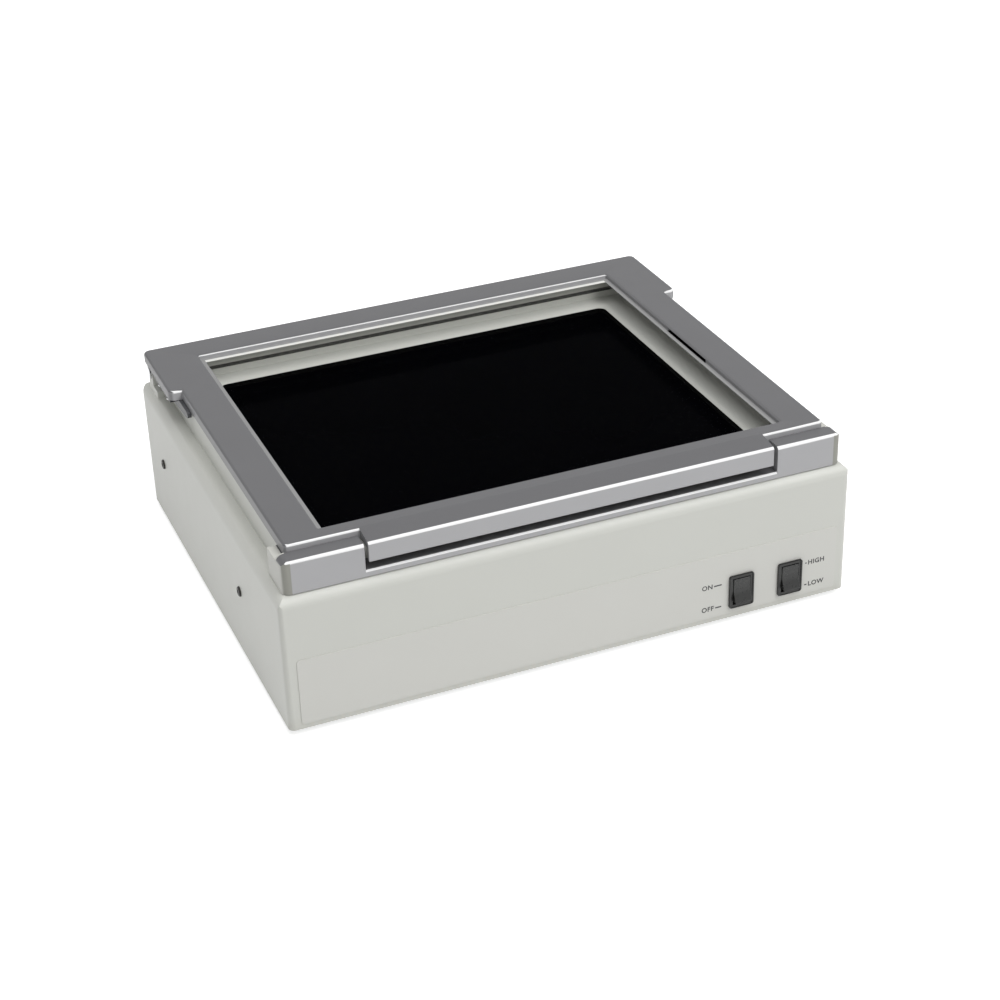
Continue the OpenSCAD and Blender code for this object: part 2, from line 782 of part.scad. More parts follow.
cap_len = 9;
module lamp_tubes() {
    color([0.93, 0.93, 0.97]) for (i = [0:lamp_count - 1])
        translate([0, lamp_y(i), lamp_axis]) difference() {
            translate([-lamp_len / 2 + cap_len / 2, 0, 0]) rod_x(lamp_len - cap_len, lamp_r - 0.4);
            translate([-lamp_len / 2, 0, 0]) rod_x(lamp_len, lamp_r - 1.2);
        }
}

module lamp_caps() {
    color(zinc) both_sides() for (i = [0:lamp_count - 1])
        translate([lamp_len / 2 - cap_len, lamp_y(i), lamp_axis]) {
            difference() {
                rod_x(cap_len, lamp_r);
                translate([-over, 0, 0]) rod_x(cap_len / 2 + over, lamp_r - 0.38);
            }
            for (s = [-1, 1]) translate([cap_len - 1, s * 2.5, 0]) rod_x(8, 1.2);
        }
}

ballast = [150, 38, 26];        // length, depth and height of a ballast's case
ballast_skin = 1.2;
ballast_ear = 8;
ballast_foot = 1.5;
ballast_x = -rack_x + 1.8 + ballast_ear + ballast[0] / 2;
ballast_pitch = (body_d - 97) / 3;
module at_ballasts() {
    for (i = [-1:1]) translate([ballast_x, aperture_y - 8 + i * ballast_pitch, tray_z]) children();
}

module ballasts() {
    inner = [for (size = ballast) size - 2 * ballast_skin];
    color([0.88, 0.88, 0.86]) at_ballasts() difference() {
        union() {
            translate([0, 0, ballast[2] / 2]) difference() {
                cube(ballast, center = true);
                cube(inner, center = true);
            }
            translate([0, 0, ballast_foot / 2])
                cube([ballast[0] + 2 * ballast_ear, ballast[1] - 8, ballast_foot], center = true);
        }
        for (s = [-1, 1]) translate([s * (ballast[0] + ballast_ear) / 2, 0, -over])
            cylinder(h = 4, r = m3_r + screw_fit);
        for (s = [-1, 1]) translate([s * ballast[0] / 2, 0, ballast[2] - 6])
            cube([8, 24, 8], center = true);
    }
}

module ballast_screws() {
    color(zinc) at_ballasts() for (s = [-1, 1])
        translate([s * (ballast[0] + ballast_ear) / 2, 0, ballast_foot])
            screw(m3_r, ballast_foot, m3_head);
}

terminal_side = 33;             // distance of the terminal block from the inlet, to the left
terminal_back = 71.5;           // distance of the terminal block's first pole from the back face
module terminal_block() {
    n = 4;
    pitch = 10;
    color([0.9, 0.9, 0.88])
    translate([inlet_x - terminal_side, back_y - terminal_back, tray_z]) difference() {
        for (i = [0:n - 1]) translate([0, i * pitch, 0]) {
            translate([-8, -4.6, 0]) cube([16, 9.4, 8]);
            translate([-4, -4.6, 0]) cube([8, 9.4, 13]);
            translate([-2, 0, 0]) cube([4, pitch / 2, 4]);
            translate([-2, -pitch / 2, 0]) cube([4, pitch / 2, 4]);
        }
        for (i = [0:n - 1]) translate([0, i * pitch, 0]) {
            translate([0, 0, 8]) cylinder(h = 6, r = 2);
            translate([-9, 0, 5]) rod_x(18, 1.6);
        }
    }
}

// ---------------------------------------------------------------- back

socket = [24.4, 16.6, 17];      // width, height and depth of the inlet's socket
socket_z = -5;
drawer = [23, 7.4, 20];         // width, height and length of the fuse drawer
drawer_z = 9.4;
drawer_gap = 0.3;

module power_inlet() {
    color(rubber_black) at_inlet() difference() {
        union() {
            rotate([-90, 0, 0])
                linear_extrude(inlet_flange[2]) round_rect(inlet_flange[0], inlet_flange[1], 4);
            translate([-inlet_body[0] / 2, -inlet_body[2], -inlet_body[1] / 2])
                cube([inlet_body[0], inlet_body[2] + 1, inlet_body[1]]);
        }
        translate([0, inlet_flange[2] - socket[2], socket_z]) rotate([-90, 0, 0])
            linear_extrude(socket[2] + over) polygon([
                [-socket[0] / 2, socket[1] / 2], [socket[0] / 2, socket[1] / 2],
                [socket[0] / 2, -socket[1] / 2 + 4], [socket[0] / 2 - 4, -socket[1] / 2],
                [-socket[0] / 2 + 4, -socket[1] / 2], [-socket[0] / 2, -socket[1] / 2 + 4]
            ]);
        translate([-drawer[0] / 2 - drawer_gap, inlet_flange[2] - drawer[2] - drawer_gap,
                   drawer_z - drawer[1] / 2 - drawer_gap])
            cube([drawer[0] + 2 * drawer_gap, drawer[2] + drawer_gap + over, drawer[1] + 2 * drawer_gap]);
        for (x = [-1, 1]) translate([x * inlet_screw_pitch / 2, -over, 0])
            rod_y(inlet_flange[2] + 2 * over, m3_r + screw_fit);
        for (x = [-7, 7]) translate([x, -inlet_body[2] - over, socket_z - 2]) translate([-1, 0, -2])
            cube([2, inlet_body[2], 4]);
        translate([-1, -inlet_body[2] - over, socket_z]) cube([2, inlet_body[2], 4.5]);
    }
}

module inlet_pins() {
    color([0.8, 0.78, 0.7]) at_inlet() {
        for (x = [-7, 7]) translate([x - 1, -inlet_body[2] - 7, socket_z - 4])
            cube([2, inlet_body[2] + 5, 4]);
        translate([-1, -inlet_body[2] - 7, socket_z]) cube([2, inlet_body[2] + 5.6, 4.5]);
    }
}

module inlet_screws() {
    color(zinc) at_inlet() for (x = [-1, 1]) translate([x * inlet_screw_pitch / 2, inlet_flange[2], 0])
        rotate([-90, 0, 0]) screw(m3_r, 8, [2.8, 1.6]);
}

module inlet_nuts() {
    color(zinc) at_inlet() for (x = [-1, 1]) translate([x * inlet_screw_pitch / 2, -wall, 0])
        rotate([90, 0, 0]) difference() {
            cylinder(h = 2.4, r = 3.2, $fn = 6);
            translate([0, 0, -over]) cylinder(h = 2.4 + 2 * over, r = m3_r + press_fit);
        }
}

module fuse_drawer() {
    color(rubber_black) at_inlet() translate([0, inlet_flange[2] - drawer[2], drawer_z]) difference() {
        translate([-drawer[0] / 2, 0, -drawer[1] / 2]) cube([drawer[0], drawer[2], drawer[1]]);
        translate([-10.4, 3, -2.7]) cube([20.8, 5.6, drawer[1]]);
        translate([-4, drawer[2] - 1.4, -drawer[1] / 2 - over]) cube([8, 3, 3.5]);
        translate([-drawer[0] / 2 + 2, 11, -drawer[1] / 2 + 1.4]) cube([drawer[0] - 4, 5.6, drawer[1]]);
    }
}

module fuse() {
    color([0.85, 0.9, 0.9]) at_inlet() translate([-10, inlet_flange[2] - drawer[2] + 5.8, drawer_z]) {
        rod_x(20, 2.2);
        rod_x(5.5, 2.6);
        translate([14.5, 0, 0]) rod_x(5.5, 2.6);
    }
}

fan_hub_r = 12.5;
fan_shaft_r = 1.5;
fan_bush_len = 9;
module fan_frame() {
    bore = fan_w / 2 - 1.5;
    color(rubber_black) at_fan() translate([0, -fan_t, 0]) difference() {
        union() {
            difference() {
                rotate([-90, 0, 0]) linear_extrude(fan_t) round_rect(fan_w, fan_w, 4);
                translate([0, -over, 0]) rod_y(fan_t + 2 * over, bore);
            }
            rod_y(2, fan_hub_r);
            for (a = [45:90:315]) rotate([0, a, 0]) translate([0, 0, -2]) cube([bore + 1, 2, 4]);
            rod_y(2 + fan_bush_len, 3.6);
        }
        translate([0, -over, 0]) rod_y(fan_bush_len + 4, fan_shaft_r + pin_fit);
        for (x = [-1, 1], z = [-1, 1]) translate([x * fan_pitch / 2, -over, z * fan_pitch / 2])
            rod_y(fan_t + 2 * over, m4_r + press_fit);
        difference() {
            translate([0, 3.5, 0]) rod_y(fan_t - 7, fan_w);
            translate([0, 3.5, 0]) rod_y(fan_t - 7, bore + 1.4);
            for (x = [-1, 1], z = [-1, 1]) translate([x * fan_pitch / 2, 3, z * fan_pitch / 2])
                rod_y(fan_t - 6, m4_r + 1.6);
        }
    }
}

module fan_rotor() {
    blades = 7;
    hub_y = 3;
    color(dark_grey) at_fan() translate([0, -fan_t, 0]) {
        difference() {
            translate([0, hub_y, 0]) rod_y(fan_t - hub_y - 1, fan_hub_r);
            translate([0, hub_y - over, 0]) rod_y(fan_t - hub_y - 2, fan_hub_r - 1.5);
        }
        translate([0, 2, 0]) rod_y(fan_t - hub_y - 1, fan_shaft_r);
        for (i = [0:blades - 1]) rotate([0, i * 360 / blades, 0])
            translate([fan_hub_r - 1, hub_y + 1 + (fan_t - hub_y - 3) / 2, 0]) rotate([38, 0, 0])
                translate([0, -(fan_t - 6) / 2, -0.6]) cube([fan_w / 2 - 2.6 - fan_hub_r, fan_t - 6, 1.2]);
    }
}

module fan_screws() {
    color(zinc) at_fan_screws() translate([0, wall, 0]) rotate([-90, 0, 0])
        screw(m4_r, wall + 14, m4_head);
}

// ---------------------------------------------------------------- hinge

module hinge_brackets() {
    color(dark_grey) both_sides() difference() {
        union() {
            translate([bracket_x, pivot_y + bracket_back - bracket_foot[0], shoulder_z - 2])
                cube([lug_x + lug_t - bracket_x, bracket_foot[0], bracket_foot[1] + 2]);
            translate([lug_x, pivot_y - lug_r, shoulder_z - 2])
                cube([lug_t, 2 * lug_r, pivot_z - shoulder_z + 2]);
            translate([lug_x, pivot_y, pivot_z]) rod_x(lug_t, lug_r);
        }
        translate([0, 0, base_z]) soft_box(body_w, body_d, body_h, edge_r);
        translate([lug_x - over, pivot_y, pivot_z]) rod_x(lug_t + 2 * over, pin_r + press_fit);
        at_bracket_screws() translate([0, 0, shoulder_z - over])
            cylinder(h = bracket_foot[1], r = m25_r + press_fit);
    }
}

module bracket_screws() {
    color(zinc) both_sides() at_bracket_screws() translate([0, 0, shoulder_z - wall]) rotate([180, 0, 0])
        screw(m25_r, wall + 3, m25_head);
}

module hinge_pins() {
    len = lug_x + lug_t - arm_x + 0.4;
    color([0.8, 0.8, 0.82]) both_sides() translate([arm_x - 0.4, pivot_y, pivot_z]) {
        rod_x(len, pin_r);
        translate([len, 0, 0]) rod_x(1.2, lug_r - 0.6);
    }
}

module hinge_washers() {
    color([0.9, 0.88, 0.8]) both_sides() translate([lug_x - washer_t, pivot_y, pivot_z]) difference() {
        rod_x(washer_t, lug_r - 0.3);
        translate([-over, 0, 0]) rod_x(washer_t + 2 * over, pin_r + press_fit);
    }
}

// ---------------------------------------------------------------- cover

lip_run = lid_front - lip_front;
lip_slope = atan(lip_drop / lip_run);
lip_bottom = lid_top - lip_drop - lip_h;
lip_steps = 5;

// Section of the front lip: sloping top, rounded nose and down-turned face
module lip_section() {
    y0 = front_y + lip_front;
    r = lid_edge_r;
    slope_z = lid_top - lip_drop * (lip_run - r) / lip_run;
    cz = slope_z - r / cos(lip_slope);
    nose = [for (i = [0:lip_steps]) let (a = 180 - i * (90 - lip_slope) / lip_steps)
        [y0 + r + r * cos(a), cz + r * sin(a)]];
    polygon(concat(
        [[y0 + lip_t, lip_bottom], [y0, lip_bottom]],
        nose,
        [[lid_front_y, lid_top], [lid_front_y + over, lid_top],
         [lid_front_y + over, lid_z], [y0 + lip_t, lid_z]]));
}

module lid_frame() {
    ear_reach = lid_w / 2 + ear_w;
    slot_h = lid_t - window_t - 1;
    color(cover_grey) difference() {
        union() {
            difference() {
                plate(lid_w, lid_d, lid_t, 3, lid_z, lid_y);
                translate([0, lid_y, lid_top]) rim_cuts(lid_w, lid_d, lid_edge_r);
            }
            difference() {
                translate([0, lid_back_y - ear_len / 2, lid_z]) linear_extrude(lid_t)
                    round_rect(2 * ear_reach, ear_len, ear_r);
                translate([0, lid_back_y - ear_len / 2, lid_top])
                    rim_cuts(2 * ear_reach, ear_len, lid_edge_r);
            }
            translate([0, 0, lid_z]) translate([-lid_w / 2 + lid_edge_r, lid_back_y - ear_len - 2, 0])
                cube([lid_w - 2 * lid_edge_r, 20, lid_t]);
            along_x(lip_w) lip_section();
        }
        plate(view_w, view_d, lid_t + 2 * over, 1.5, lid_z - over, view_y);
        plate(window_w + 2 * window_gap, window_d + 2 * window_gap, window_t + window_gap + over, 3,
              lid_z - over, view_y);
        translate([0, view_y, lid_top]) opening_cuts(view_w, view_d, lid_edge_r - 0.2);
        translate([0, view_y, lid_z + window_gap + window_t + slot_h / 2])
            cube([view_w + 2 * slot_depth, slot_len, slot_h], center = true);
        at_window_screws() translate([0, 0, lid_z + window_t]) cylinder(h = 2, r = m3_r + press_fit);
        both_sides() at_arm_screws() translate([0, 0, lid_z - over])
            cylinder(h = 4 + over, r = m3_r + press_fit);
    }
}

module lid_window() {
    color([0.85, 0.9, 0.9, 0.3]) difference() {
        plate(window_w, window_d, window_t, 2.6, lid_z + window_gap, view_y);
        at_window_screws() translate([0, 0, lid_z - over])
            cylinder(h = window_t + 2 * over + 1, r = m3_r + screw_fit);
    }
}

module window_screws() {
    color(zinc) at_window_screws() translate([0, 0, lid_z + window_gap]) rotate([180, 0, 0])
        screw(m3_r, window_t + 1.5, [2.4, 1.4]);
}

// Side view of a hinge arm: an eye on the pin and a tail that tapers to the front
module arm_section() {
    eye_r = hinge_drop;
    tail = pivot_y - arm_len;
    translate([pivot_y, pivot_z]) circle(eye_r);
    polygon([
        [pivot_y, lid_z], [tail + 3, lid_z], [tail + 0.9, lid_z - 0.6], [tail, lid_z - 2],
        [tail + 0.8, lid_z - 3.2], [tail + 4, lid_z - 4.2], [tail + 26, lid_z - 6.2],
        [pivot_y - 12, pivot_z - eye_r + 0.6], [pivot_y, pivot_z - eye_r]
    ]);
}

module hinge_arms() {
    color(dark_grey) both_sides() difference() {
        union() {
            translate([arm_x + arm_t / 2, 0, 0]) along_x(arm_t) arm_section();
            translate([arm_x, arm_flange_y, lid_z - arm_flange[2]])
                cube([arm_t + arm_flange[0], arm_flange[1], arm_flange[2]]);
        }
        translate([arm_x - over, pivot_y, pivot_z]) rod_x(arm_t + 2 * over, pin_r + pin_fit);
        at_arm_screws() translate([0, 0, lid_z - arm_flange[2] - over])
            cylinder(h = arm_flange[2] + 2 * over, r = m3_r + screw_fit);
    }
}

module arm_screws() {
    color(zinc) both_sides() at_arm_screws() translate([0, 0, lid_z - arm_flange[2]]) rotate([180, 0, 0])
        screw(m3_r, arm_flange[2] + 3.5, [2.4, 1.4]);
}

housing_cover();
base_tray();
rubber_feet();
foot_screws();
foot_nuts();
side_screws();
side_nuts();
front_film();
front_bezel();
bezel_screws();
filter_glass();
filter_gasket();
filter_retainer();
retainer_screws();
reflector();
reflector_screws();
lamp_brackets();
lamp_holders();
lamp_tubes();
lamp_caps();
ballasts();
ballast_screws();
terminal_block();
power_inlet();
inlet_pins();
inlet_screws();
inlet_nuts();
fuse_drawer();
fuse();
power_switch_body();
power_rocker();
intensity_switch_body();
intensity_rocker();
switch_terminals();
fan_frame();
fan_rotor();
fan_screws();
hinge_brackets();
bracket_screws();
hinge_pins();
hinge_washers();
lid_frame();
lid_window();
window_screws();
hinge_arms();
arm_screws();
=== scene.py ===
"""Dresses a bench-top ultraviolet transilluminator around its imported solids.

Sizes are in millimetres, apart from those of the studio, which are in metres like Blender's own.
"""

from __future__ import annotations

import json
import logging
import math
from contextlib import contextmanager
from dataclasses import dataclass
from enum import Enum
from typing import Callable, Iterator, Sequence

import bmesh
import bpy
from mathutils import Matrix, Vector

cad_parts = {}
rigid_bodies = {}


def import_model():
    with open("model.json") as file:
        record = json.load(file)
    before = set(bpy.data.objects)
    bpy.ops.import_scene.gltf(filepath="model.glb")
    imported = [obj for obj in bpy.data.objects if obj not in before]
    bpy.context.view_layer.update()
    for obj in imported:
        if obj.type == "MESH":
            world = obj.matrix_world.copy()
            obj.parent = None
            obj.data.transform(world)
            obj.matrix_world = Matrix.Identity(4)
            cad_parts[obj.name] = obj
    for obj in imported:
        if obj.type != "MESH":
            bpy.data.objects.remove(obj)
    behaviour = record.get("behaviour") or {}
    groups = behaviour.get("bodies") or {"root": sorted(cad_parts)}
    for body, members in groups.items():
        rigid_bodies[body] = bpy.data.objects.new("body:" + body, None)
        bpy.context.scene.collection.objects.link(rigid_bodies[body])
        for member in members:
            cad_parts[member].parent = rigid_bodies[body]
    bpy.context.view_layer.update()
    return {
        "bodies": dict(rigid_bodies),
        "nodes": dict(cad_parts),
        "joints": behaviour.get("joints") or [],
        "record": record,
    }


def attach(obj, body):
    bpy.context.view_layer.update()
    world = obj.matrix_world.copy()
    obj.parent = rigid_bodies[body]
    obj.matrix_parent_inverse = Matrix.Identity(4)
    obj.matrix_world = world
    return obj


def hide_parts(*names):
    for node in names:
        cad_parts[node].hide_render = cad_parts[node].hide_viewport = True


LOG = logging.getLogger("transilluminator")
MM = 0.001
Triple = tuple[float, float, float]
NEAR = 0.02  # how close two places count as the same, in millimetres
PAST = 1.0  # how far a cutter reaches past what it cuts, in millimetres


class Body(Enum):
    """The rigid bodies that pieces ride on."""

    HOUSING = "housing"
    LID = "lid"
    POWER_ROCKER = "power_rocker"
    INTENSITY_ROCKER = "intensity_rocker"
    FUSE_DRAWER = "fuse_drawer"
    FAN_ROTOR = "fan_rotor"


def linear(red: float, green: float, blue: float) -> Triple:
    """Turns a colour as a screen shows it, 0 to 255, into the shader's linear values.

    Args:
        red: The red part.
        green: The green part.
        blue: The blue part.

    Returns:
        The three linear parts.
    """

    def channel(value: float) -> float:
        """Returns one linear channel."""
        share = value / 255
        return share / 12.92 if share <= 0.04045 else ((share + 0.055) / 1.055) ** 2.4

    return channel(red), channel(green), channel(blue)


# ------------------------------------------------------------------ shaders


class Wire:
    """A shader socket that takes part in Python arithmetic."""

    def __init__(self, shader: Shader, socket: bpy.types.NodeSocket) -> None:
        """Keeps the socket and the shader that it belongs to."""
        self.shader = shader
        self.socket = socket

    def _math(self, operation: str, first: Wire | float, second: Wire | float) -> Wire:
        """Adds one Math node."""
        return self.shader.node("Math", {"operation": operation}, {0: first, 1: second})

    def __add__(self, other: Wire | float) -> Wire:
        """Returns self + other."""
        return self._math("ADD", self, other)

    def __radd__(self, other: float) -> Wire:
        """Returns other + self."""
        return self._math("ADD", other, self)

    def __sub__(self, other: Wire | float) -> Wire:
        """Returns self - other."""
        return self._math("SUBTRACT", self, other)

    def __rsub__(self, other: float) -> Wire:
        """Returns other - self."""
        return self._math("SUBTRACT", other, self)

    def __mul__(self, other: Wire | float) -> Wire:
        """Returns self * other."""
        return self._math("MULTIPLY", self, other)

    def __rmul__(self, other: float) -> Wire:
        """Returns other * self."""
        return self._math("MULTIPLY", other, self)

    def __abs__(self) -> Wire:
        """Returns the size of self without its sign."""
        return self._math("ABSOLUTE", self, 0.0)

    def ramp(self, low: float, high: float) -> Wire:
        """Returns 0 below low and 1 above high, with a soft step between."""
        settings = {"interpolation_type": "SMOOTHSTEP"}
        return self.shader.node("MapRange", settings, {0: self, 1: low, 2: high})

    def past(self, limit: float, width: float = 0.25) -> Wire:
        """Returns 0 below a limit and 1 past it, changing over a width, both in millimetres."""
        return self.ramp(limit * MM, (limit + width) * MM)

    def within(self, limit: float, width: float = 0.25) -> Wire:
        """Returns 1 below a limit and 0 past it, changing over a width, both in millimetres."""
        return 1.0 - self.past(limit, width)


class Shader:
    """One node material with a Principled shader."""

    def __init__(self, name: str) -> None:
        """Makes an empty material.

        Args:
            name: The material's name.
        """
        self.material = bpy.data.materials.new(name)
        self.material.use_nodes = True
        self.tree = self.material.node_tree
        self.surface = self.tree.nodes["Principled BSDF"]

    def node(
        self, kind: str, settings: dict | None = None, values: dict | None = None, out: int | str = 0
    ) -> Wire:
        """Adds any node.

        Args:
            kind: The node's type without its ShaderNode prefix.
            settings: Properties set before the inputs.
            values: Inputs by index or name, each a number, a tuple or a wire.
            out: The output that is returned.

        Returns:
            The chosen output as a wire.
        """
        made = self.tree.nodes.new("ShaderNode" + kind)
        for key, value in (settings or {}).items():
            setattr(made, key, value)
        for key, value in (values or {}).items():
            self.feed(made.inputs[key], value)
        return Wire(self, made.outputs[out])

    def feed(self, socket: bpy.types.NodeSocket, value: Wire | float | Sequence[float]) -> None:
        """Links a wire to a socket, or sets the socket's own value.

        Args:
            socket: The socket of any node.
            value: A wire, a number, a colour or a vector.
        """
        if isinstance(value, Wire):
            self.tree.links.new(value.socket, socket)
        elif isinstance(value, tuple) and socket.type == "RGBA":
            socket.default_value = (*value, 1.0)
        else:
            socket.default_value = value

    def set(self, **values: Wire | float | Sequence[float]) -> None:
        """Feeds sockets of the Principled shader; a name's underscores stand for spaces."""
        for key, value in values.items():
            self.feed(self.surface.inputs[key.replace("_", " ")], value)

    def _parts(self, output: str) -> tuple[Wire, Wire, Wire]:
        """Returns the X, Y and Z of one output of the texture coordinates."""
        whole = self.node("TexCoord", out=output)
        return tuple(self.node("SeparateXYZ", None, {0: whole}, part) for part in "XYZ")

    def axes(self) -> tuple[Wire, Wire, Wire]:
        """Returns the object coordinates along X, Y and Z."""
        return self._parts("Object")

    def facing(self) -> tuple[Wire, Wire, Wire]:
        """Returns the three parts of the surface's direction in the object's own frame."""
        return self._parts("Normal")

    def noise(self, size: float, detail: float = 3.0, stretch: Triple = (1.0, 1.0, 1.0)) -> Wire:
        """Adds a noise pattern.

        Args:
            size: The size of its blobs in millimetres.
            detail: How many finer layers it has.
            stretch: How much denser it is along each axis.

        Returns:
            The pattern from 0 to 1.
        """
        place = self.node("TexCoord", out="Object")
        where = self.node("Mapping", {"vector_type": "POINT"}, {"Vector": place, "Scale": stretch})
        inputs = {"Vector": where, "Scale": 1 / (size * MM), "Detail": detail}
        return self.node("TexNoise", None, inputs, "Fac")

    def mix(self, share: Wire | float, first: Wire | Triple, second: Wire | Triple) -> Wire:
        """Mixes two colours."""
        return self.node("Mix", {"data_type": "RGBA"}, {0: share, 6: first, 7: second}, 2)

    def bump(self, height: Wire, depth: float) -> None:
        """Raises the surface by a pattern.

        Args:
            height: The pattern, 0 to 1.
            depth: The height of its tops in millimetres.
        """
        values = {"Height": height, "Distance": depth * MM, "Strength": 1.0}
        self.set(Normal=self.node("Bump", None, values, "Normal"))


@dataclass(frozen=True)
class Finish:
    """A moulded, painted or plated surface with soft mottling and a fine grain."""

    name: str
    colour: Triple
    roughness: float
    metallic: float = 0.0
    mottle: float = 0.05
    mottle_size: float = 35.0
    grain_size: float = 0.9
    grain_depth: float = 0.02
    gloss_change: float = 0.08
    gloss_scale: float = 0.4
    stretch: Triple = (1.0, 1.0, 1.0)
    coat: float = 0.0
    specular: float = 0.5

    def tint(self, shader: Shader, colour: Triple) -> Wire:
        """Lets a colour drift softly over the surface.

        Args:
            shader: The material being made.
            colour: The linear colour at its middle.

        Returns:
            The drifting colour.
        """
        low = tuple(part * (1 - self.mottle) for part in colour)
        high = tuple(min(part * (1 + self.mottle), 1.0) for part in colour)
        return shader.mix(shader.noise(self.mottle_size, 4.0), low, high)

    def paint(self, shader: Shader) -> Wire:
        """Returns the surface's colour."""
        return self.tint(shader, linear(*self.colour))

    def build(self) -> bpy.types.Material:
        """Makes the material.

        Returns:
            The finished material.
        """
        shader = Shader(self.name)
        grain = shader.noise(self.grain_size, 2.0, self.stretch)
        change = shader.noise(self.mottle_size * self.gloss_scale, 3.0, self.stretch)
        shader.set(
            Base_Color=self.paint(shader),
            Roughness=self.roughness + (change - 0.5) * self.gloss_change,
            Metallic=self.metallic,
            Coat_Weight=self.coat,
            Specular_IOR_Level=self.specular,
        )
        shader.bump(grain, self.grain_depth)
        return shader.material


@dataclass(frozen=True)
class PowderCoat(Finish):
    """Baked powder coat with an orange-peel skin, a trace of dust near its lower edge and painted shade
    in the joint of the well's rear wall.
    """

    dust: Triple = (176, 172, 160)
    dust_zone: tuple[float, float] = (4.0, 13.0)
    dust_share: float = 0.35
    dust_size: float = 6.0
    # Painted shade for the joint in the well's rear wall, under the cover's rear bar.
    painted_shade: Triple = (104, 104, 101)
    joint: tuple[float, float, float, float, float] = (152.4, 115.0, 120.9, 96.1, 98.5)

    def paint(self, shader: Shader) -> Wire:
        """Returns the coat's colour with its dusty foot and painted shade in the joint of the well's
        rear wall.

        Args:
            shader: The material being made.

        Returns:
            The colour.
        """
        side, along, height = shader.axes()
        foot = 1.0 - height.ramp(*(limit * MM for limit in self.dust_zone))
        share = foot * shader.noise(self.dust_size, 5.0) * self.dust_share
        coat = shader.mix(share, super().paint(shader), linear(*self.dust))
        # Painted shade: the joint along the rear wall of the well is darkened.
        half, near, far, low, high = self.joint
        joint = abs(side).within(half) * along.past(near) * along.within(far)
        joint = joint * height.past(low) * height.within(high)
        return shader.mix(joint, coat, linear(*self.painted_shade))


@dataclass(frozen=True)
class CoverSkin(Finish):
    """Satin skin with painted light and shade that follow the way each face points: a dark top, lighter
    sides, still lighter ends, a painted highlight on the front edges and painted shade inside the side
    slots.
    """

    # The finish's own colour is the top's painted shade; sides and ends hold painted light, and the
    # front edges a painted highlight.
    sides: Triple = (136, 136, 138)
    ends: Triple = (174, 174, 176)
    edges: Triple = (243, 243, 243)
    # Painted shade inside the side slots.
    painted_shade: Triple = (22, 22, 23)
    end_light_band: tuple[float, float] = (0.75, 0.95)
    top_shade_band: tuple[float, float] = (0.3, 0.6)
    highlight_low: tuple[float, float] = (0.1, 0.3)
    highlight_high: tuple[float, float] = (0.88, 0.985)
    highlight_front: tuple[float, float] = (0.1, 0.35)
    highlight_left: tuple[float, float] = (0.25, 0.5)
    slot: tuple[float, float, float, float] = (138.9, 143.0, 25.2, 108.1)

    def paint(self, shader: Shader) -> Wire:
        """Returns a colour with painted light and shade that follow the way each face points.

        Args:
            shader: The material being made.

        Returns:
            The colour.
        """
        right, back, up = shader.facing()
        painted_side_shade = self.tint(shader, linear(*self.sides))
        ends = self.tint(shader, linear(*self.ends))
        wall = shader.mix(abs(back).ramp(*self.end_light_band), painted_side_shade, ends)
        top = shader.mix(up.ramp(*self.top_shade_band), wall, super().paint(shader))
        # Painted highlight on the edges that bend from the top towards the front.
        bend = up.ramp(*self.highlight_low) * (1.0 - up.ramp(*self.highlight_high))
        bend = bend * (0.0 - back).ramp(*self.highlight_front)
        bend = bend * (1.0 - (0.0 - right).ramp(*self.highlight_left))
        skin = shader.mix(bend, top, linear(*self.edges))
        # Painted shade inside the side slots of the frame.
        side, along, height = shader.axes()
        near, far, half, top = self.slot
        slot = abs(side).past(near) * abs(side).within(far)
        slot = slot * abs(along).within(half) * height.within(top)
        return shader.mix(slot, skin, linear(*self.painted_shade))


@dataclass(frozen=True)
class TrimSkin(CoverSkin):
    """Cover skin whose outer cheeks are painted like the housing, with painted shade where they face
    forwards.
    """

    cheek: Triple = (196, 196, 190)
    # Painted shade on the front faces of the cheeks.
    cheek_front_shade: Triple = (150, 150, 143)
    cheek_start: float = 160.4
    crown_end: float = -128.0
    crown_band: tuple[float, float] = (0.3, 0.5)
    front_shade_band: tuple[float, float] = (0.3, 0.7)

    def paint(self, shader: Shader) -> Wire:
        """Returns the skin's colour with its painted cheeks and the painted shade on their front faces.

        Args:
            shader: The material being made.

        Returns:
            The colour.
        """
        _, back, up = shader.facing()
        side, along, _ = shader.axes()
        crown = up.ramp(*self.crown_band) * along.within(self.crown_end)
        outer = abs(side).past(self.cheek_start) * (1.0 - crown)
        # Painted shade where the cheeks face forwards.
        front = (0.0 - back).ramp(*self.front_shade_band)
        coat = shader.mix(front, linear(*self.cheek), linear(*self.cheek_front_shade))
        return shader.mix(outer, super().paint(shader), coat)


@dataclass(frozen=True)
class BlackGlass(Finish):
    """Polished filter glass that lets no visible light through."""

    wipe_size: float = 40.0
    wipe_stretch: Triple = (1.0, 4.0, 1.0)
    wipe_gloss: float = 0.04
    cloud_size: float = 60.0
    cloud_gain: float = 1.6

    def build(self) -> bpy.types.Material:
        """Makes the material with faint wipe marks in its gloss.

        Returns:
            The finished material.
        """
        shader = Shader(self.name)
        wipe = shader.noise(self.wipe_size, 5.0, self.wipe_stretch)
        deep = linear(*self.colour)
        paler = tuple(part * self.cloud_gain for part in deep)
        shader.set(
            Base_Color=shader.mix(shader.noise(self.cloud_size), deep, paler),
            Roughness=self.roughness + wipe * self.wipe_gloss,
            Specular_IOR_Level=self.specular,
        )
        return shader.material


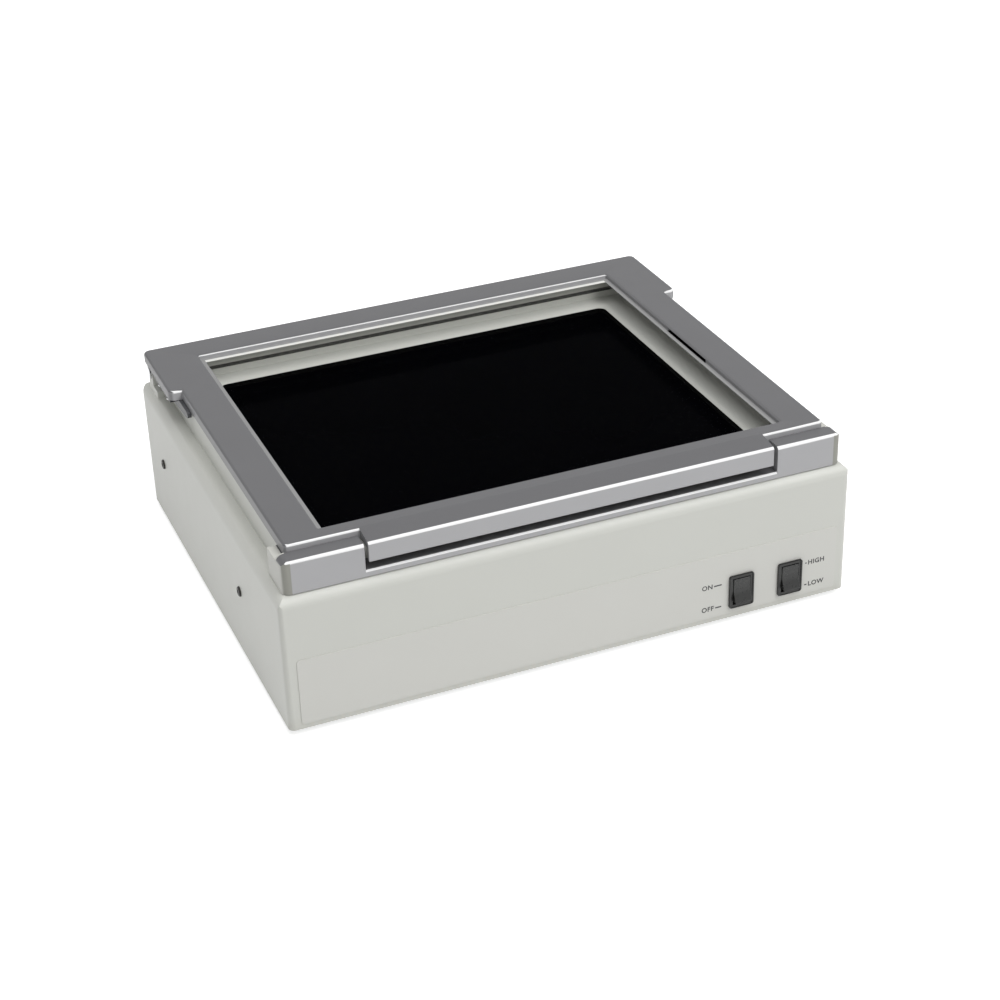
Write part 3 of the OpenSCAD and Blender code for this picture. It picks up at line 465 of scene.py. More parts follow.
@dataclass(frozen=True)
class ClearSheet(Finish):
    """Clear acrylic with denser cut edges, a printed border that hides its fixings, painted shade on the
    border beside the side slots and a painted highlight along the border's rear part.
    """

    face_alpha: float = 0.0004
    edge_alpha: float = 0.4
    view: tuple[float, float] = (134.8, 112.3)
    border: Triple = (150, 150, 150)
    # Painted shade for the border beside the side slots.
    painted_shade: Triple = (14, 14, 15)
    slot: tuple[float, float] = (137.3, 25.2)
    # Painted highlight: a bright band on the rear part of the border.
    highlight_band: tuple[float, float] = (109.2, 112.3)
    highlight_fade: float = 0.8
    highlight_tone: Triple = (226, 226, 222)
    print_height: float = 105.6
    edge_band: tuple[float, float] = (0.6, 0.95)
    haze: float = 0.0008
    haze_size: float = 25.0

    def build(self) -> bpy.types.Material:
        """Makes the see-through material.

        Returns:
            The finished material.
        """
        shader = Shader(self.name)
        side, back, height = shader.axes()
        side, along = abs(side), abs(back)
        across = side.within(self.view[0])
        near, far = self.highlight_band
        # Painted highlight band on the rear of the border.
        highlight_band = back.past(near, self.highlight_fade) * back.within(far, self.highlight_fade) * across
        inner = across * along.within(self.view[1]) * (1.0 - highlight_band)
        inner = 1.0 - (1.0 - inner) * height.past(self.print_height)
        # Painted shade on the border where it lies beside the cover's side slots.
        slot = side.past(self.slot[0]) * along.within(self.slot[1])
        print_and_painted_light = shader.mix(slot, linear(*self.border), linear(*self.painted_shade))
        print_and_painted_light = shader.mix(highlight_band, print_and_painted_light, linear(*self.highlight_tone))
        edge = 1.0 - abs(shader.facing()[2]).ramp(*self.edge_band)
        haze = shader.noise(self.haze_size, 5.0) * self.haze
        clear = self.face_alpha + haze + edge * (self.edge_alpha - self.face_alpha)
        shader.set(
            Base_Color=shader.mix(inner, print_and_painted_light, self.paint(shader)),
            Roughness=self.roughness + haze,
            Alpha=1.0 - inner * (1.0 - clear),
            Specular_IOR_Level=self.specular,
        )
        return shader.material


@dataclass(frozen=True)
class LampGlass(Finish):
    """Phosphor-coated lamp glass that darkens towards its ends."""

    burnt_zone: tuple[float, float] = (113.0, 133.0)
    burnt_share: float = 0.8
    burnt: Triple = (150, 146, 158)

    def paint(self, shader: Shader) -> Wire:
        """Returns the phosphor's colour along the lamp."""
        end = abs(shader.axes()[0]).ramp(*(limit * MM for limit in self.burnt_zone))
        return shader.mix(end * self.burnt_share, super().paint(shader), linear(*self.burnt))


class Finishes:
    """Every finish on the instrument, each made once and when first asked for."""

    COAT = PowderCoat(
        "powder_coat", (203, 204, 198), 0.42, mottle=0.015, grain_size=1.1, grain_depth=0.016
    )
    FILM = Finish("panel_film", (205, 205, 200), 0.5, mottle=0.012, grain_size=0.35, grain_depth=0.006)
    INK = Finish("panel_ink", (58, 58, 60), 0.6, mottle=0.1, grain_size=0.4, grain_depth=0.004)
    # The cover's own colour is the painted shade of its top; its skin paints the other faces lighter.
    COVER = CoverSkin("cover_skin", (99, 99, 101), 0.4, mottle=0.04, grain_depth=0.008, specular=0.25)
    FILTER = BlackGlass("filter_glass", (1, 1, 2), 0.04, specular=0.001)
    # The bezel carries the same painted light and shade as the cover.
    TRIM = TrimSkin("trim_skin", (99, 99, 101), 0.4, mottle=0.04, grain_depth=0.008, specular=0.25)
    CLEAR = ClearSheet("clear_acrylic", (150, 158, 160), 0.03, mottle=0.01, specular=0.004)
    SWITCH = Finish("switch_plastic", (22, 23, 22), 0.34, mottle=0.15, mottle_size=4.0, grain_size=0.3)
    ROCKER = Finish("rocker_plastic", (34, 35, 34), 0.28, mottle=0.12, mottle_size=5.0, grain_size=0.3)
    BLACK = Finish("black_plastic", (30, 30, 31), 0.5, mottle=0.12, mottle_size=9.0, grain_size=0.5)
    SEAL = Finish(
        "seal_rubber", (5, 5, 5), 0.85, mottle=0.2, mottle_size=5.0, grain_depth=0.03, specular=0.05
    )
    RUBBER = Finish("moulded_rubber", (24, 24, 25), 0.78, mottle=0.2, mottle_size=5.0, grain_depth=0.04)
    HINGE = Finish("hinge_paint", (62, 63, 66), 0.4, mottle=0.08, mottle_size=8.0, grain_size=0.6)
    SCREW = Finish(
        "bright_screws", (188, 189, 190), 0.3, 1.0, mottle=0.08, mottle_size=3.0, grain_size=0.5
    )
    DARK_SCREW = Finish(
        "blackened_screws", (44, 42, 40), 0.42, 0.6, mottle=0.2, mottle_size=2.0, grain_size=0.5
    )
    PIN = Finish(
        "turned_pins", (205, 206, 208), 0.2, 1.0, mottle=0.05, stretch=(40.0, 1.0, 1.0), grain_size=2.0
    )
    ZINC = Finish("zinc_sheet", (176, 179, 178), 0.38, 0.9, mottle=0.14, mottle_size=7.0, grain_size=4.0)
    REFLECTOR = Finish(
        "rolled_reflector", (226, 228, 232), 0.14, 1.0, mottle=0.03, stretch=(1.0, 30.0, 30.0)
    )
    WHITE = Finish("white_plastic", (226, 225, 218), 0.35, mottle=0.03, mottle_size=6.0, grain_size=0.4)
    LAMP = LampGlass("phosphor_glass", (232, 232, 240), 0.12, mottle=0.02, mottle_size=10.0, coat=0.4)
    CAP = Finish("lamp_caps", (186, 187, 189), 0.36, 1.0, mottle=0.08, mottle_size=3.0, grain_size=0.6)
    BALLAST = Finish("ballast_paint", (214, 214, 208), 0.45, mottle=0.03, mottle_size=20.0)
    BRASS = Finish(
        "plated_brass", (205, 184, 128), 0.28, 1.0, mottle=0.1, mottle_size=3.0, grain_size=0.5
    )
    FUSE = Finish("fuse_glass", (206, 212, 210), 0.1, mottle=0.15, mottle_size=3.0, coat=0.6)
    NYLON = Finish("nylon", (222, 217, 200), 0.5, mottle=0.04, mottle_size=3.0)

    def __init__(self) -> None:
        """Starts with no material made."""
        self._made: dict[str, bpy.types.Material] = {}

    def get(self, finish: Finish) -> bpy.types.Material:
        """Returns the material of a finish.

        Args:
            finish: One of the finishes above.

        Returns:
            Its material, made on the first call.
        """
        if finish.name not in self._made:
            self._made[finish.name] = finish.build()
        return self._made[finish.name]


# ------------------------------------------------------------------ modelling

EdgeTest = Callable[[Vector, Vector], bool]
FaceTest = Callable[[Vector, Vector], bool]


def deselect() -> None:
    """Leaves nothing selected."""
    bpy.ops.object.select_all(action="DESELECT")


def upright(first: Vector, second: Vector) -> bool:
    """Tells whether an edge stands upright."""
    return abs(first.x - second.x) < NEAR and abs(first.y - second.y) < NEAR


def at_height(height: float) -> EdgeTest:
    """Returns a test for edges that lie at one height."""
    return lambda first, second: abs(first.z - height) < NEAR and abs(second.z - height) < NEAR


def beyond(axis: str, limit: float, sign: int = 1) -> EdgeTest:
    """Returns a test for edges that lie past a limit along an axis, or before it if sign is -1."""
    index = "XYZ".index(axis)
    return lambda first, second: min(first[index] * sign, second[index] * sign) > limit * sign


def every(*tests: EdgeTest) -> EdgeTest:
    """Returns a test for edges that pass all of several tests."""
    return lambda first, second: all(test(first, second) for test in tests)


def along(axis: str) -> EdgeTest:
    """Returns a test for edges that run along X, Y or Z."""
    others = [index for index in range(3) if "XYZ"[index] != axis]
    return lambda first, second: all(abs(first[index] - second[index]) < NEAR for index in others)


def facing(axis: str, sign: int) -> FaceTest:
    """Returns a test for faces that look along one axis, forwards or backwards."""
    index = "XYZ".index(axis)
    return lambda middle, normal: normal[index] * sign > 0.9


class Blank:
    """A primitive on its way to becoming a piece. All its measures are in millimetres."""

    def __init__(self, obj: bpy.types.Object) -> None:
        """Takes over an object that sits at the origin."""
        self.obj = obj

    def activate(self) -> None:
        """Selects this piece alone and makes it the active one."""
        deselect()
        self.obj.select_set(True)
        bpy.context.view_layer.objects.active = self.obj

    @classmethod
    def adopt(cls, name: str) -> Blank:
        """Names the new primitive and applies its place to its mesh.

        Args:
            name: The blank's name.

        Returns:
            The blank.
        """
        obj = bpy.context.object
        obj.name = obj.data.name = name
        bpy.ops.object.transform_apply(location=True, rotation=True, scale=True)
        return cls(obj)

    @classmethod
    def box(cls, name: str, low: Triple, high: Triple) -> Blank:
        """Adds a box between two corners.

        Args:
            name: The blank's name.
            low: The corner with its smallest coordinates.
            high: The corner with its largest coordinates.

        Returns:
            The box.
        """
        deselect()
        centre = [(a + b) / 2 * MM for a, b in zip(low, high)]
        scale = [(b - a) * MM for a, b in zip(low, high)]
        bpy.ops.mesh.primitive_cube_add(size=1, location=centre, scale=scale)
        return cls.adopt(name)

    @classmethod
    def rod(cls, name: str, start: Triple, end: Triple, radius: float, sides: int) -> Blank:
        """Adds a round rod between two points.

        Args:
            name: The blank's name.
            start: The middle of one end.
            end: The middle of the other end.
            radius: Its radius.
            sides: How many sides stand for the circle.

        Returns:
            The rod.
        """
        deselect()
        run = Vector(end) - Vector(start)
        middle = (Vector(end) + Vector(start)) / 2 * MM
        turn = run.to_track_quat("Z", "Y").to_euler()
        bpy.ops.mesh.primitive_cylinder_add(
            vertices=sides, radius=radius * MM, depth=run.length * MM, location=middle, rotation=turn
        )
        return cls.adopt(name)

    @contextmanager
    def edit(self, edges: bool = False) -> Iterator[bmesh.types.BMesh]:
        """Opens the mesh in edit mode with nothing selected.

        Args:
            edges: Whether edges are selected instead of faces.

        Yields:
            The mesh being edited.
        """
        self.activate()
        bpy.ops.object.mode_set(mode="EDIT")
        bpy.ops.mesh.select_mode(type="EDGE" if edges else "FACE")
        bpy.ops.mesh.select_all(action="DESELECT")
        yield bmesh.from_edit_mesh(self.obj.data)
        bpy.ops.object.mode_set(mode="OBJECT")

    def pick_edges(self, mesh: bmesh.types.BMesh, test: EdgeTest) -> None:
        """Selects the edges whose two ends pass a test.

        Args:
            mesh: The mesh being edited.
            test: What an edge has to pass.
        """
        for edge in mesh.edges:
            first, second = (vert.co / MM for vert in edge.verts)
            edge.select_set(test(first, second))
        bmesh.update_edit_mesh(self.obj.data)

    def pick_faces(self, mesh: bmesh.types.BMesh, test: FaceTest) -> None:
        """Selects the faces whose middle and normal pass a test.

        Args:
            mesh: The mesh being edited.
            test: What a face has to pass.
        """
        for face in mesh.faces:
            face.select_set(test(face.calc_center_median() / MM, face.normal))
        bmesh.update_edit_mesh(self.obj.data)

    def round_edges(self, test: EdgeTest, radius: float, steps: int = 6) -> Blank:
        """Rounds the edges that pass a test.

        Args:
            test: What an edge has to pass.
            radius: The radius of the rounding.
            steps: How many faces make the rounding.

        Returns:
            The same blank.
        """
        with self.edit(edges=True) as mesh:
            self.pick_edges(mesh, test)
            bpy.ops.mesh.bevel(offset=radius * MM, segments=steps, affect="EDGES", clamp_overlap=True)
        return self

    def extrude(self, test: FaceTest, move: Triple, scale: Triple = (1.0, 1.0, 1.0)) -> Blank:
        """Draws faces out along a vector, then scales them about their middle.

        Args:
            test: What a face has to pass.
            move: How far the faces are drawn out along each axis.
            scale: How much they grow along each axis.

        Returns:
            The same blank.
        """
        with self.edit() as mesh:
            self.pick_faces(mesh, test)
            step = tuple(part * MM for part in move)
            bpy.ops.mesh.extrude_region_move(TRANSFORM_OT_translate={"value": step})
            bpy.ops.transform.resize(value=scale)
        return self

    def inset(self, test: FaceTest, width: float) -> Blank:
        """Insets the faces that pass a test.

        Args:
            test: What a face has to pass.
            width: The width of the ring that is left around them.

        Returns:
            The same blank.
        """
        with self.edit() as mesh:
            self.pick_faces(mesh, test)
            bpy.ops.mesh.inset(thickness=width * MM)
        return self

    def slice(self, point: Triple, normal: Triple) -> Blank:
        """Adds a line of edges where a plane crosses the mesh.

        Args:
            point: A point on the plane.
            normal: The direction that the plane faces.

        Returns:
            The same blank.
        """
        with self.edit() as mesh:
            self.pick_faces(mesh, lambda middle, normal: True)
            bpy.ops.mesh.bisect(plane_co=[part * MM for part in point], plane_no=normal)
        return self

    def shift(self, test: EdgeTest, move: Triple) -> Blank:
        """Moves the edges that pass a test.

        Args:
            test: What an edge has to pass.
            move: How far they move along each axis.

        Returns:
            The same blank.
        """
        with self.edit(edges=True) as mesh:
            self.pick_edges(mesh, test)
            bpy.ops.transform.translate(value=[part * MM for part in move])
        return self

    def modify(self, kind: str, **settings: object) -> Blank:
        """Adds a modifier and applies it.

        Args:
            kind: The kind of modifier.
            settings: Its settings by name.

        Returns:
            The same blank.
        """
        self.activate()
        modifier = self.obj.modifiers.new(kind.lower(), kind)
        for key, value in settings.items():
            setattr(modifier, key, value)
        bpy.ops.object.modifier_apply(modifier=modifier.name)
        return self

    def combine(self, operation: str, *tools: Blank) -> Blank:
        """Joins, cuts or intersects with other blanks, which are used up.

        Args:
            operation: UNION, DIFFERENCE or INTERSECT.
            tools: The other blanks.

        Returns:
            The same blank.
        """
        for tool in tools:
            self.modify("BOOLEAN", operation=operation, object=tool.obj, solver="EXACT")
            bpy.data.objects.remove(tool.obj)
        return self

    def join(self, *tools: Blank) -> Blank:
        """Grows into one solid with other blanks."""
        return self.combine("UNION", *tools)

    def cut(self, *tools: Blank) -> Blank:
        """Removes what other blanks fill."""
        return self.combine("DIFFERENCE", *tools)

    def soften(self, width: float, steps: int, angle: float) -> Blank:
        """Rounds every sharp edge by a small radius.

        Args:
            width: The width of the rounding.
            steps: How many faces make the rounding.
            angle: The smallest bend that is rounded, in degrees.

        Returns:
            The same blank.
        """
        limit = math.radians(angle)
        return self.modify(
            "BEVEL", width=width * MM, segments=steps, limit_method="ANGLE", angle_limit=limit
        )

    def turn(
        self, axis: str, degrees: float, about: Triple, test: EdgeTest = lambda a, b: True
    ) -> Blank:
        """Turns the edges that pass a test, or the whole mesh, about a point.

        Args:
            axis: X, Y or Z.
            degrees: How far they turn.
            about: The point that they turn about.
            test: What an edge has to pass.

        Returns:
            The same blank.
        """
        with self.edit(edges=True) as mesh:
            self.pick_edges(mesh, test)
            point = tuple(part * MM for part in about)
            angle = -math.radians(degrees)
            bpy.ops.transform.rotate(value=angle, orient_axis=axis, center_override=point)
        return self

    def copy(self, name: str, move: Triple = (0.0, 0.0, 0.0)) -> Blank:
        """Copies the piece with a mesh of its own and moves the copy.

        Args:
            name: The copy's name.
            move: How far it moves along each axis.

        Returns:
            The copy.
        """
        self.activate()
        bpy.ops.object.duplicate(linked=False)
        bpy.ops.transform.translate(value=[part * MM for part in move])
        return self.adopt(name)

    def mirrored(self, name: str) -> Blank:
        """Copies the piece and mirrors the copy to the other side.

        Args:
            name: The copy's name.

        Returns:
            The copy.
        """
        twin = self.copy(name)
        with twin.edit() as mesh:
            twin.pick_faces(mesh, lambda middle, normal: True)
            bpy.ops.transform.mirror(constraint_axis=(True, False, False), center_override=(0, 0, 0))
            bpy.ops.mesh.normals_make_consistent(inside=False)
        return twin

    def merge(self, *others: Blank) -> Blank:
        """Takes other blanks into the same piece without changing their shapes.

        Args:
            others: The other blanks, which are used up.

        Returns:
            The same blank.
        """
        self.activate()
        for other in others:
            other.obj.select_set(True)
        bpy.ops.object.join()
        return self


@dataclass
class Dresser:
    """Gives pieces their finish, their body and the solids that they stand for."""

    finishes: Finishes
    nodes: dict[str, bpy.types.Object]

    def piece(
        self, blank: Blank, finish: Finish, slot: str, body: Body, *solids: str, angle: float = 38.0
    ) -> None:
        """Finishes a piece.

        Args:
            blank: The modelled shape.
            finish: Its finish.
            slot: The record's material slot, which is not used.
            body: The body that it rides on.
            solids: The solids that it stands for.
            angle: Edges sharper than this stay crisp, in degrees.
        """
        obj = blank.obj
        blank.activate()
        bpy.ops.object.shade_smooth_by_angle(angle=math.radians(angle))
        blank.modify("WEIGHTED_NORMAL", keep_sharp=True)
        obj.data.materials.clear()
        obj.data.materials.append(self.finishes.get(finish))
        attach(obj, body.value)
        if solids:
            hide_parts(*solids)
        LOG.info("piece %s: %d faces on %s", obj.name, len(obj.data.polygons), body.value)

    def solid(self, name: str, finish: Finish) -> None:
        """Gives a solid its finish and leaves its shape alone.

        Args:
            name: The solid's name.
            finish: Its finish.
        """
        obj = self.nodes[name]
        material = self.finishes.get(finish)
        if not obj.material_slots:
            obj.data.materials.append(material)
        for slot in obj.material_slots:
            slot.material = material
        LOG.info("solid %s: %s", name, finish.name)


# ------------------------------------------------------------------ sub-assemblies


@dataclass
class Housing:
    """The painted housing: a folded box with a raised deck and a sample well."""

    width: float = 340.0
    depth: float = 283.0
    base: float = 4.0
    shoulder: float = 86.0
    corner: float = 3.5
    edge: float = 7.0
    rear_edge: float = 2.5
    wall: float = 2.0
    bend_slack: float = 0.05
    deck_half: float = 159.0
    deck_front: float = -125.5
    deck_back: float = 127.5
    deck_top: float = 102.7
    deck_corner: float = 6.0
    deck_edge: float = 0.9
    rim: float = 9.0
    well_floor: float = 92.0
    well_corner: float = 4.0
    aperture: tuple[float, float] = (260.0, 210.0)
    aperture_y: float = -1.5
    aperture_corner: float = 5.0
    switch_x: tuple[float, float] = (101.3, 132.7)
    switch_z: float = 21.3
    switch_hole: tuple[float, float] = (13.0, 19.0)
    inlet: tuple[float, float] = (105.0, 34.0)
    inlet_hole: tuple[float, float] = (28.2, 30.2)
    fan: tuple[float, float] = (-95.0, 45.0)
    grille: float = 26.5
    slots_aside: int = 4
    slot_pitch: float = 6.0
    slot_width: float = 3.0
    slot_round: float = 1.4
    slot_lead: float = 0.7
    joint: Triple = (96.3, 98.5, 1.8)

    def rounded(self, name: str, low: Triple, high: Triple, corner: float) -> Blank:
        """Adds a box with round upright corners."""
        return Blank.box(name, low, high).round_edges(upright, corner)

    def deck_box(self, name: str, margin: float, low: float, high: float, corner: float) -> Blank:
        """Adds a box that follows the outline of the deck.

        Args:
            name: The blank's name.
            margin: How far it stays inside the outline.
            low: The height of its lower face.
            high: The height of its upper face.
            corner: The radius of its upright corners.

        Returns:
            The box.
        """
        start = (-self.deck_half + margin, self.deck_front + margin, low)
        end = (self.deck_half - margin, self.deck_back - margin, high)
        return self.rounded(name, start, end, corner)

    def panel_hole(
        self, name: str, place: tuple[float, float], size: tuple[float, float], panel: float
    ) -> Blank:
        """Adds a box that passes through the front or the rear panel.

        Args:
            name: The blank's name.
            place: The middle of the hole in X and Z.
            size: Its width and height.
            panel: The outer face of the panel in Y.

        Returns:
            The box.
        """
        x, z = place
        half_w, half_h, reach = size[0] / 2, size[1] / 2, 2 * self.wall
        return Blank.box(
            name, (x - half_w, panel - reach, z - half_h), (x + half_w, panel + reach, z + half_h)
        )

    def shell(self) -> Blank:
        """Models the outer skin and the deck on it.

        Returns:
            The solid skin.
        """
        half_w, half_d, top = self.width / 2, self.depth / 2, self.shoulder
        start, end = (-half_w, -half_d, self.base), (half_w, half_d, top)
        body = self.rounded("housing_shell", start, end, self.corner)
        across = Blank.box("across", (-half_w - PAST, -half_d, 0), (half_w + PAST, half_d, top))
        crosswise = every(at_height(top), along("X"))
        across.round_edges(every(crosswise, beyond("Y", 0, -1)), self.edge, steps=9)
        across.round_edges(every(crosswise, beyond("Y", half_d - NEAR)), self.rear_edge, steps=5)
        lengthwise = Blank.box("lengthwise", (-half_w, -half_d - PAST, 0), (half_w, half_d + PAST, top))
        lengthwise.round_edges(every(at_height(top), along("Y")), self.edge, steps=9)
        body.combine("INTERSECT", across, lengthwise)
        deck = self.deck_box("deck", 0.0, top - 2 * self.wall, self.deck_top, self.deck_corner)
        return body.join(deck.round_edges(at_height(self.deck_top), self.deck_edge, steps=3))

    def hollows(self) -> list[Blank]:
        """Models what is cut out of the skin.

        Returns:
            The blanks that cut it.
        """
        wall, ceiling = self.wall, self.shoulder - self.wall
        half_w, half_d, bend = self.width / 2 - wall, self.depth / 2 - wall, self.edge - wall
        inside = self.rounded("inside", (-half_w, -half_d, 0), (half_w, half_d, ceiling), bend)
        inside.round_edges(at_height(ceiling), bend - self.bend_slack, steps=5)
        half_a, half_b = (size / 2 for size in self.aperture)
        aperture = self.rounded(
            "aperture",
            (-half_a, self.aperture_y - half_b, self.well_floor - 2 * wall),
            (half_a, self.aperture_y + half_b, self.well_floor + PAST),
            self.aperture_corner,
        )
        low, high, depth = self.joint
        return [
            inside,
            self.deck_box(
                "under_deck", wall, ceiling - wall, self.well_floor - wall, self.deck_corner - wall
            ),
            self.deck_box("well", self.rim, self.well_floor, self.deck_top + PAST, self.well_corner),
            aperture,
            self.deck_box("joint", self.rim - depth, low, high, self.well_corner + depth),
        ]

    def panel_holes(self) -> list[Blank]:
        """Models the holes for the switches, the inlet and the cooling air.

        Returns:
            The blanks that cut them.
        """
        front, back = -self.depth / 2, self.depth / 2
        holes = [
            self.panel_hole("switch_hole", (x, self.switch_z), self.switch_hole, front)
            for x in self.switch_x
        ]
        holes.append(self.panel_hole("inlet_hole", self.inlet, self.inlet_hole, back))
        x, z = self.fan
        for step in range(-self.slots_aside, self.slots_aside + 1):
            offset = self.slot_pitch * step
            reach = math.sqrt(self.grille**2 - (abs(offset) + self.slot_lead) ** 2)
            slot = self.panel_hole("slot", (x + offset, z), (self.slot_width, 2 * reach), back)
            holes.append(slot.round_edges(along("Y"), self.slot_round, steps=3))
        return holes

    def build(self, dresser: Dresser) -> None:
        """Models and dresses the housing."""
        shell = self.shell().cut(*self.hollows(), *self.panel_holes())
        dresser.piece(shell, Finishes.COAT, "housing_paint", Body.HOUSING, "housing_cover", angle=28.0)


@dataclass
class FrontTrim:
    """The grey bezel: a block at each front corner, with a low sill between them."""

    half: float = 165.5
    front: float = -137.5
    back: float = -112.5
    low: float = 86.0
    block_top: float = 105.7
    outer_edge: float = 4.5
    shelf_top: float = 102.4
    shelf_front: float = -127.0
    sill_top: float = 89.9
    gap: tuple[float, float] = (-120.0, 124.8)
    deck_half: float = 159.15
    deck_front: float = -125.65
    deck_corner: float = 6.0
    corner: float = 4.0
    edge: float = 2.2
    sill_edge: float = 1.4

    def brow(self, name: str, low: Triple, high: Triple, radius: float) -> Blank:
        """Adds a box whose upper front edge is round.

        Args:
            name: The blank's name.
            low: The corner with its smallest coordinates.
            high: The corner with its largest coordinates.
            radius: The radius of the upper front edge.

        Returns:
            The box.
        """
        upper_front = every(at_height(high[2]), beyond("Y", low[1] + NEAR, -1))
        return Blank.box(name, low, high).round_edges(upper_front, radius)

    def build(self, dresser: Dresser) -> None:
        """Models and dresses the bezel.

        Args:
            dresser: What dresses the pieces.
        """
        half, front, back, low, top = self.half, self.front, self.back, self.low, self.block_top
        trim = Blank.box("front_trim", (-half, front, low), (half, back, top))
        trim.round_edges(every(upright, beyond("Y", front + NEAR, -1)), self.corner)
        arch = Blank.box("arch", (-half, front - PAST, low - PAST), (half, back + PAST, top))
        arch.round_edges(every(at_height(top), along("Y")), self.outer_edge)
        start, end = (-half - PAST, front, low - PAST), (half + PAST, back + PAST, top)
        trim.combine("INTERSECT", arch, self.brow("brow", start, end, self.edge))
        left, right = self.gap
        start, end = (-half - PAST, self.shelf_front, self.shelf_top), (half + PAST, 0, top + PAST)
        shelf = Blank.box("shelf", start, end)
        gap = Blank.box("gap", (left, front - PAST, low - PAST), (right, 0, top + PAST))
        trim.cut(shelf, gap)
        start, end = (left - PAST, front, low), (right + PAST, back, self.sill_top)
        trim.join(self.brow("sill", start, end, self.sill_edge))
        start, end = (-self.deck_half, self.deck_front, low - PAST), (self.deck_half, 0, top + PAST)
        trim.cut(Blank.box("deck", start, end).round_edges(upright, self.deck_corner))
        dresser.piece(trim, Finishes.TRIM, "cover_plastic", Body.HOUSING, "front_bezel", angle=28.0)


@dataclass
class Cover:
    """The hinged frame with its lifting lip, rear ears and clear window."""

    half: float = 160.0
    front: float = -126.0
    back: float = 137.5
    low: float = 103.0
    top: float = 109.0
    ear_half: float = 167.5
    ear_front: float = 73.5
    ear_corner: float = 4.0
    corner: float = 2.6
    lip_ends: tuple[float, float] = (-118.2, 121.4)
    lip_front: float = -139.0
    lip_low: float = 95.6
    lip_drop: float = 2.0
    lip_wall: float = 2.5
    lip_seam: float = 0.5
    lip_lap: float = 2.0
    view_half: float = 138.0
    view_reach: float = 115.5
    view_corner: float = 1.5
    lap: float = 6.2
    rebate_depth: float = 3.2
    rebate_corner: float = 3.0
    slot: Triple = (4.0, 25.0, 1.8)
    chamfer: tuple[float, float] = (1.3, 0.9)
    edge: float = 1.6

    def lip(self) -> Blank:
        """Models the lip with its sloping top and down-turned face.

        Returns:
            The lip.
        """
        left, right = self.lip_ends
        root = self.front + self.lip_lap
        lip = Blank.box("lip", (left, self.lip_front, self.lip_low), (right, root, self.top))
        face = beyond("Y", self.lip_front + NEAR, -1)
        lip.shift(every(face, beyond("Z", self.low)), (0, 0, -self.lip_drop))
        lip.round_edges(every(face, at_height(self.top - self.lip_drop)), self.edge, steps=5)
        left, right, low = left - PAST, right + PAST, self.lip_low - PAST
        inner, seam = self.lip_front + self.lip_wall, self.front + self.lip_seam
        return lip.cut(
            Blank.box("under_lip", (left, inner, low), (right, seam, self.low)),
            Blank.box("behind_lip", (left, self.front, low), (right, 0, self.low)),
        )

    def slab(self, name: str, half: float, front: float, back: float, corner: float) -> Blank:
        """Models a flat slab of the frame with round corners and a rounded upper edge.

        Args:
            name: The blank's name.
            half: Half its width.
            front: Its front in Y.
            back: Its rear in Y.
            corner: The radius of its upright corners.

        Returns:
            The slab.
        """
        slab = Blank.box(name, (-half, front, self.low), (half, back, self.top))
        slab.round_edges(upright, corner, steps=6)
        return slab.round_edges(at_height(self.top), self.edge, steps=5)

    def frame(self) -> Blank:
        """Models the frame without its opening."""
        frame = self.slab("cover_frame", self.half, self.front, self.back - self.ear_corner, self.corner)
        ears = self.slab("ears", self.ear_half, self.ear_front, self.back, self.ear_corner)
        return frame.join(ears, self.lip())

    def opening(self) -> list[Blank]:
        """Models the opening with its chamfer, the rebate for the window and the side slots.

        Returns:
            The blanks that cut them.
        """
        width, height = self.chamfer
        half, reach, low = self.view_half, self.view_reach, self.low - PAST
        view = Blank.box("view", (-half, -reach, low), (half, reach, self.top - height))
        view.round_edges(upright, self.view_corner, steps=4)
        flare = (1 + width / half, 1 + width / reach, 1.0)
        view.extrude(facing("Z", 1), (0, 0, height), flare)
        view.extrude(facing("Z", 1), (0, 0, PAST))
        foot, wide, deep = self.low + self.rebate_depth, half + self.lap, reach + self.lap
        rebate = Blank.box("rebate", (-wide, -deep, low), (wide, deep, foot))
        rebate.round_edges(upright, self.rebate_corner, steps=4)
        depth, length, height = self.slot
        wide = half + depth
        slots = Blank.box("slots", (-wide, -length, foot), (wide, length, foot + height))
        return [view, rebate, slots]

    def build(self, dresser: Dresser) -> None:
        """Models and dresses the cover.

        Args:
            dresser: What dresses the pieces.
        """
        frame = self.frame().cut(*self.opening())
        dresser.piece(frame, Finishes.COVER, "cover_plastic", Body.LID, "lid_frame")
        dresser.solid("lid_window", Finishes.CLEAR)
        dresser.solid("window_screws", Finishes.SCREW)


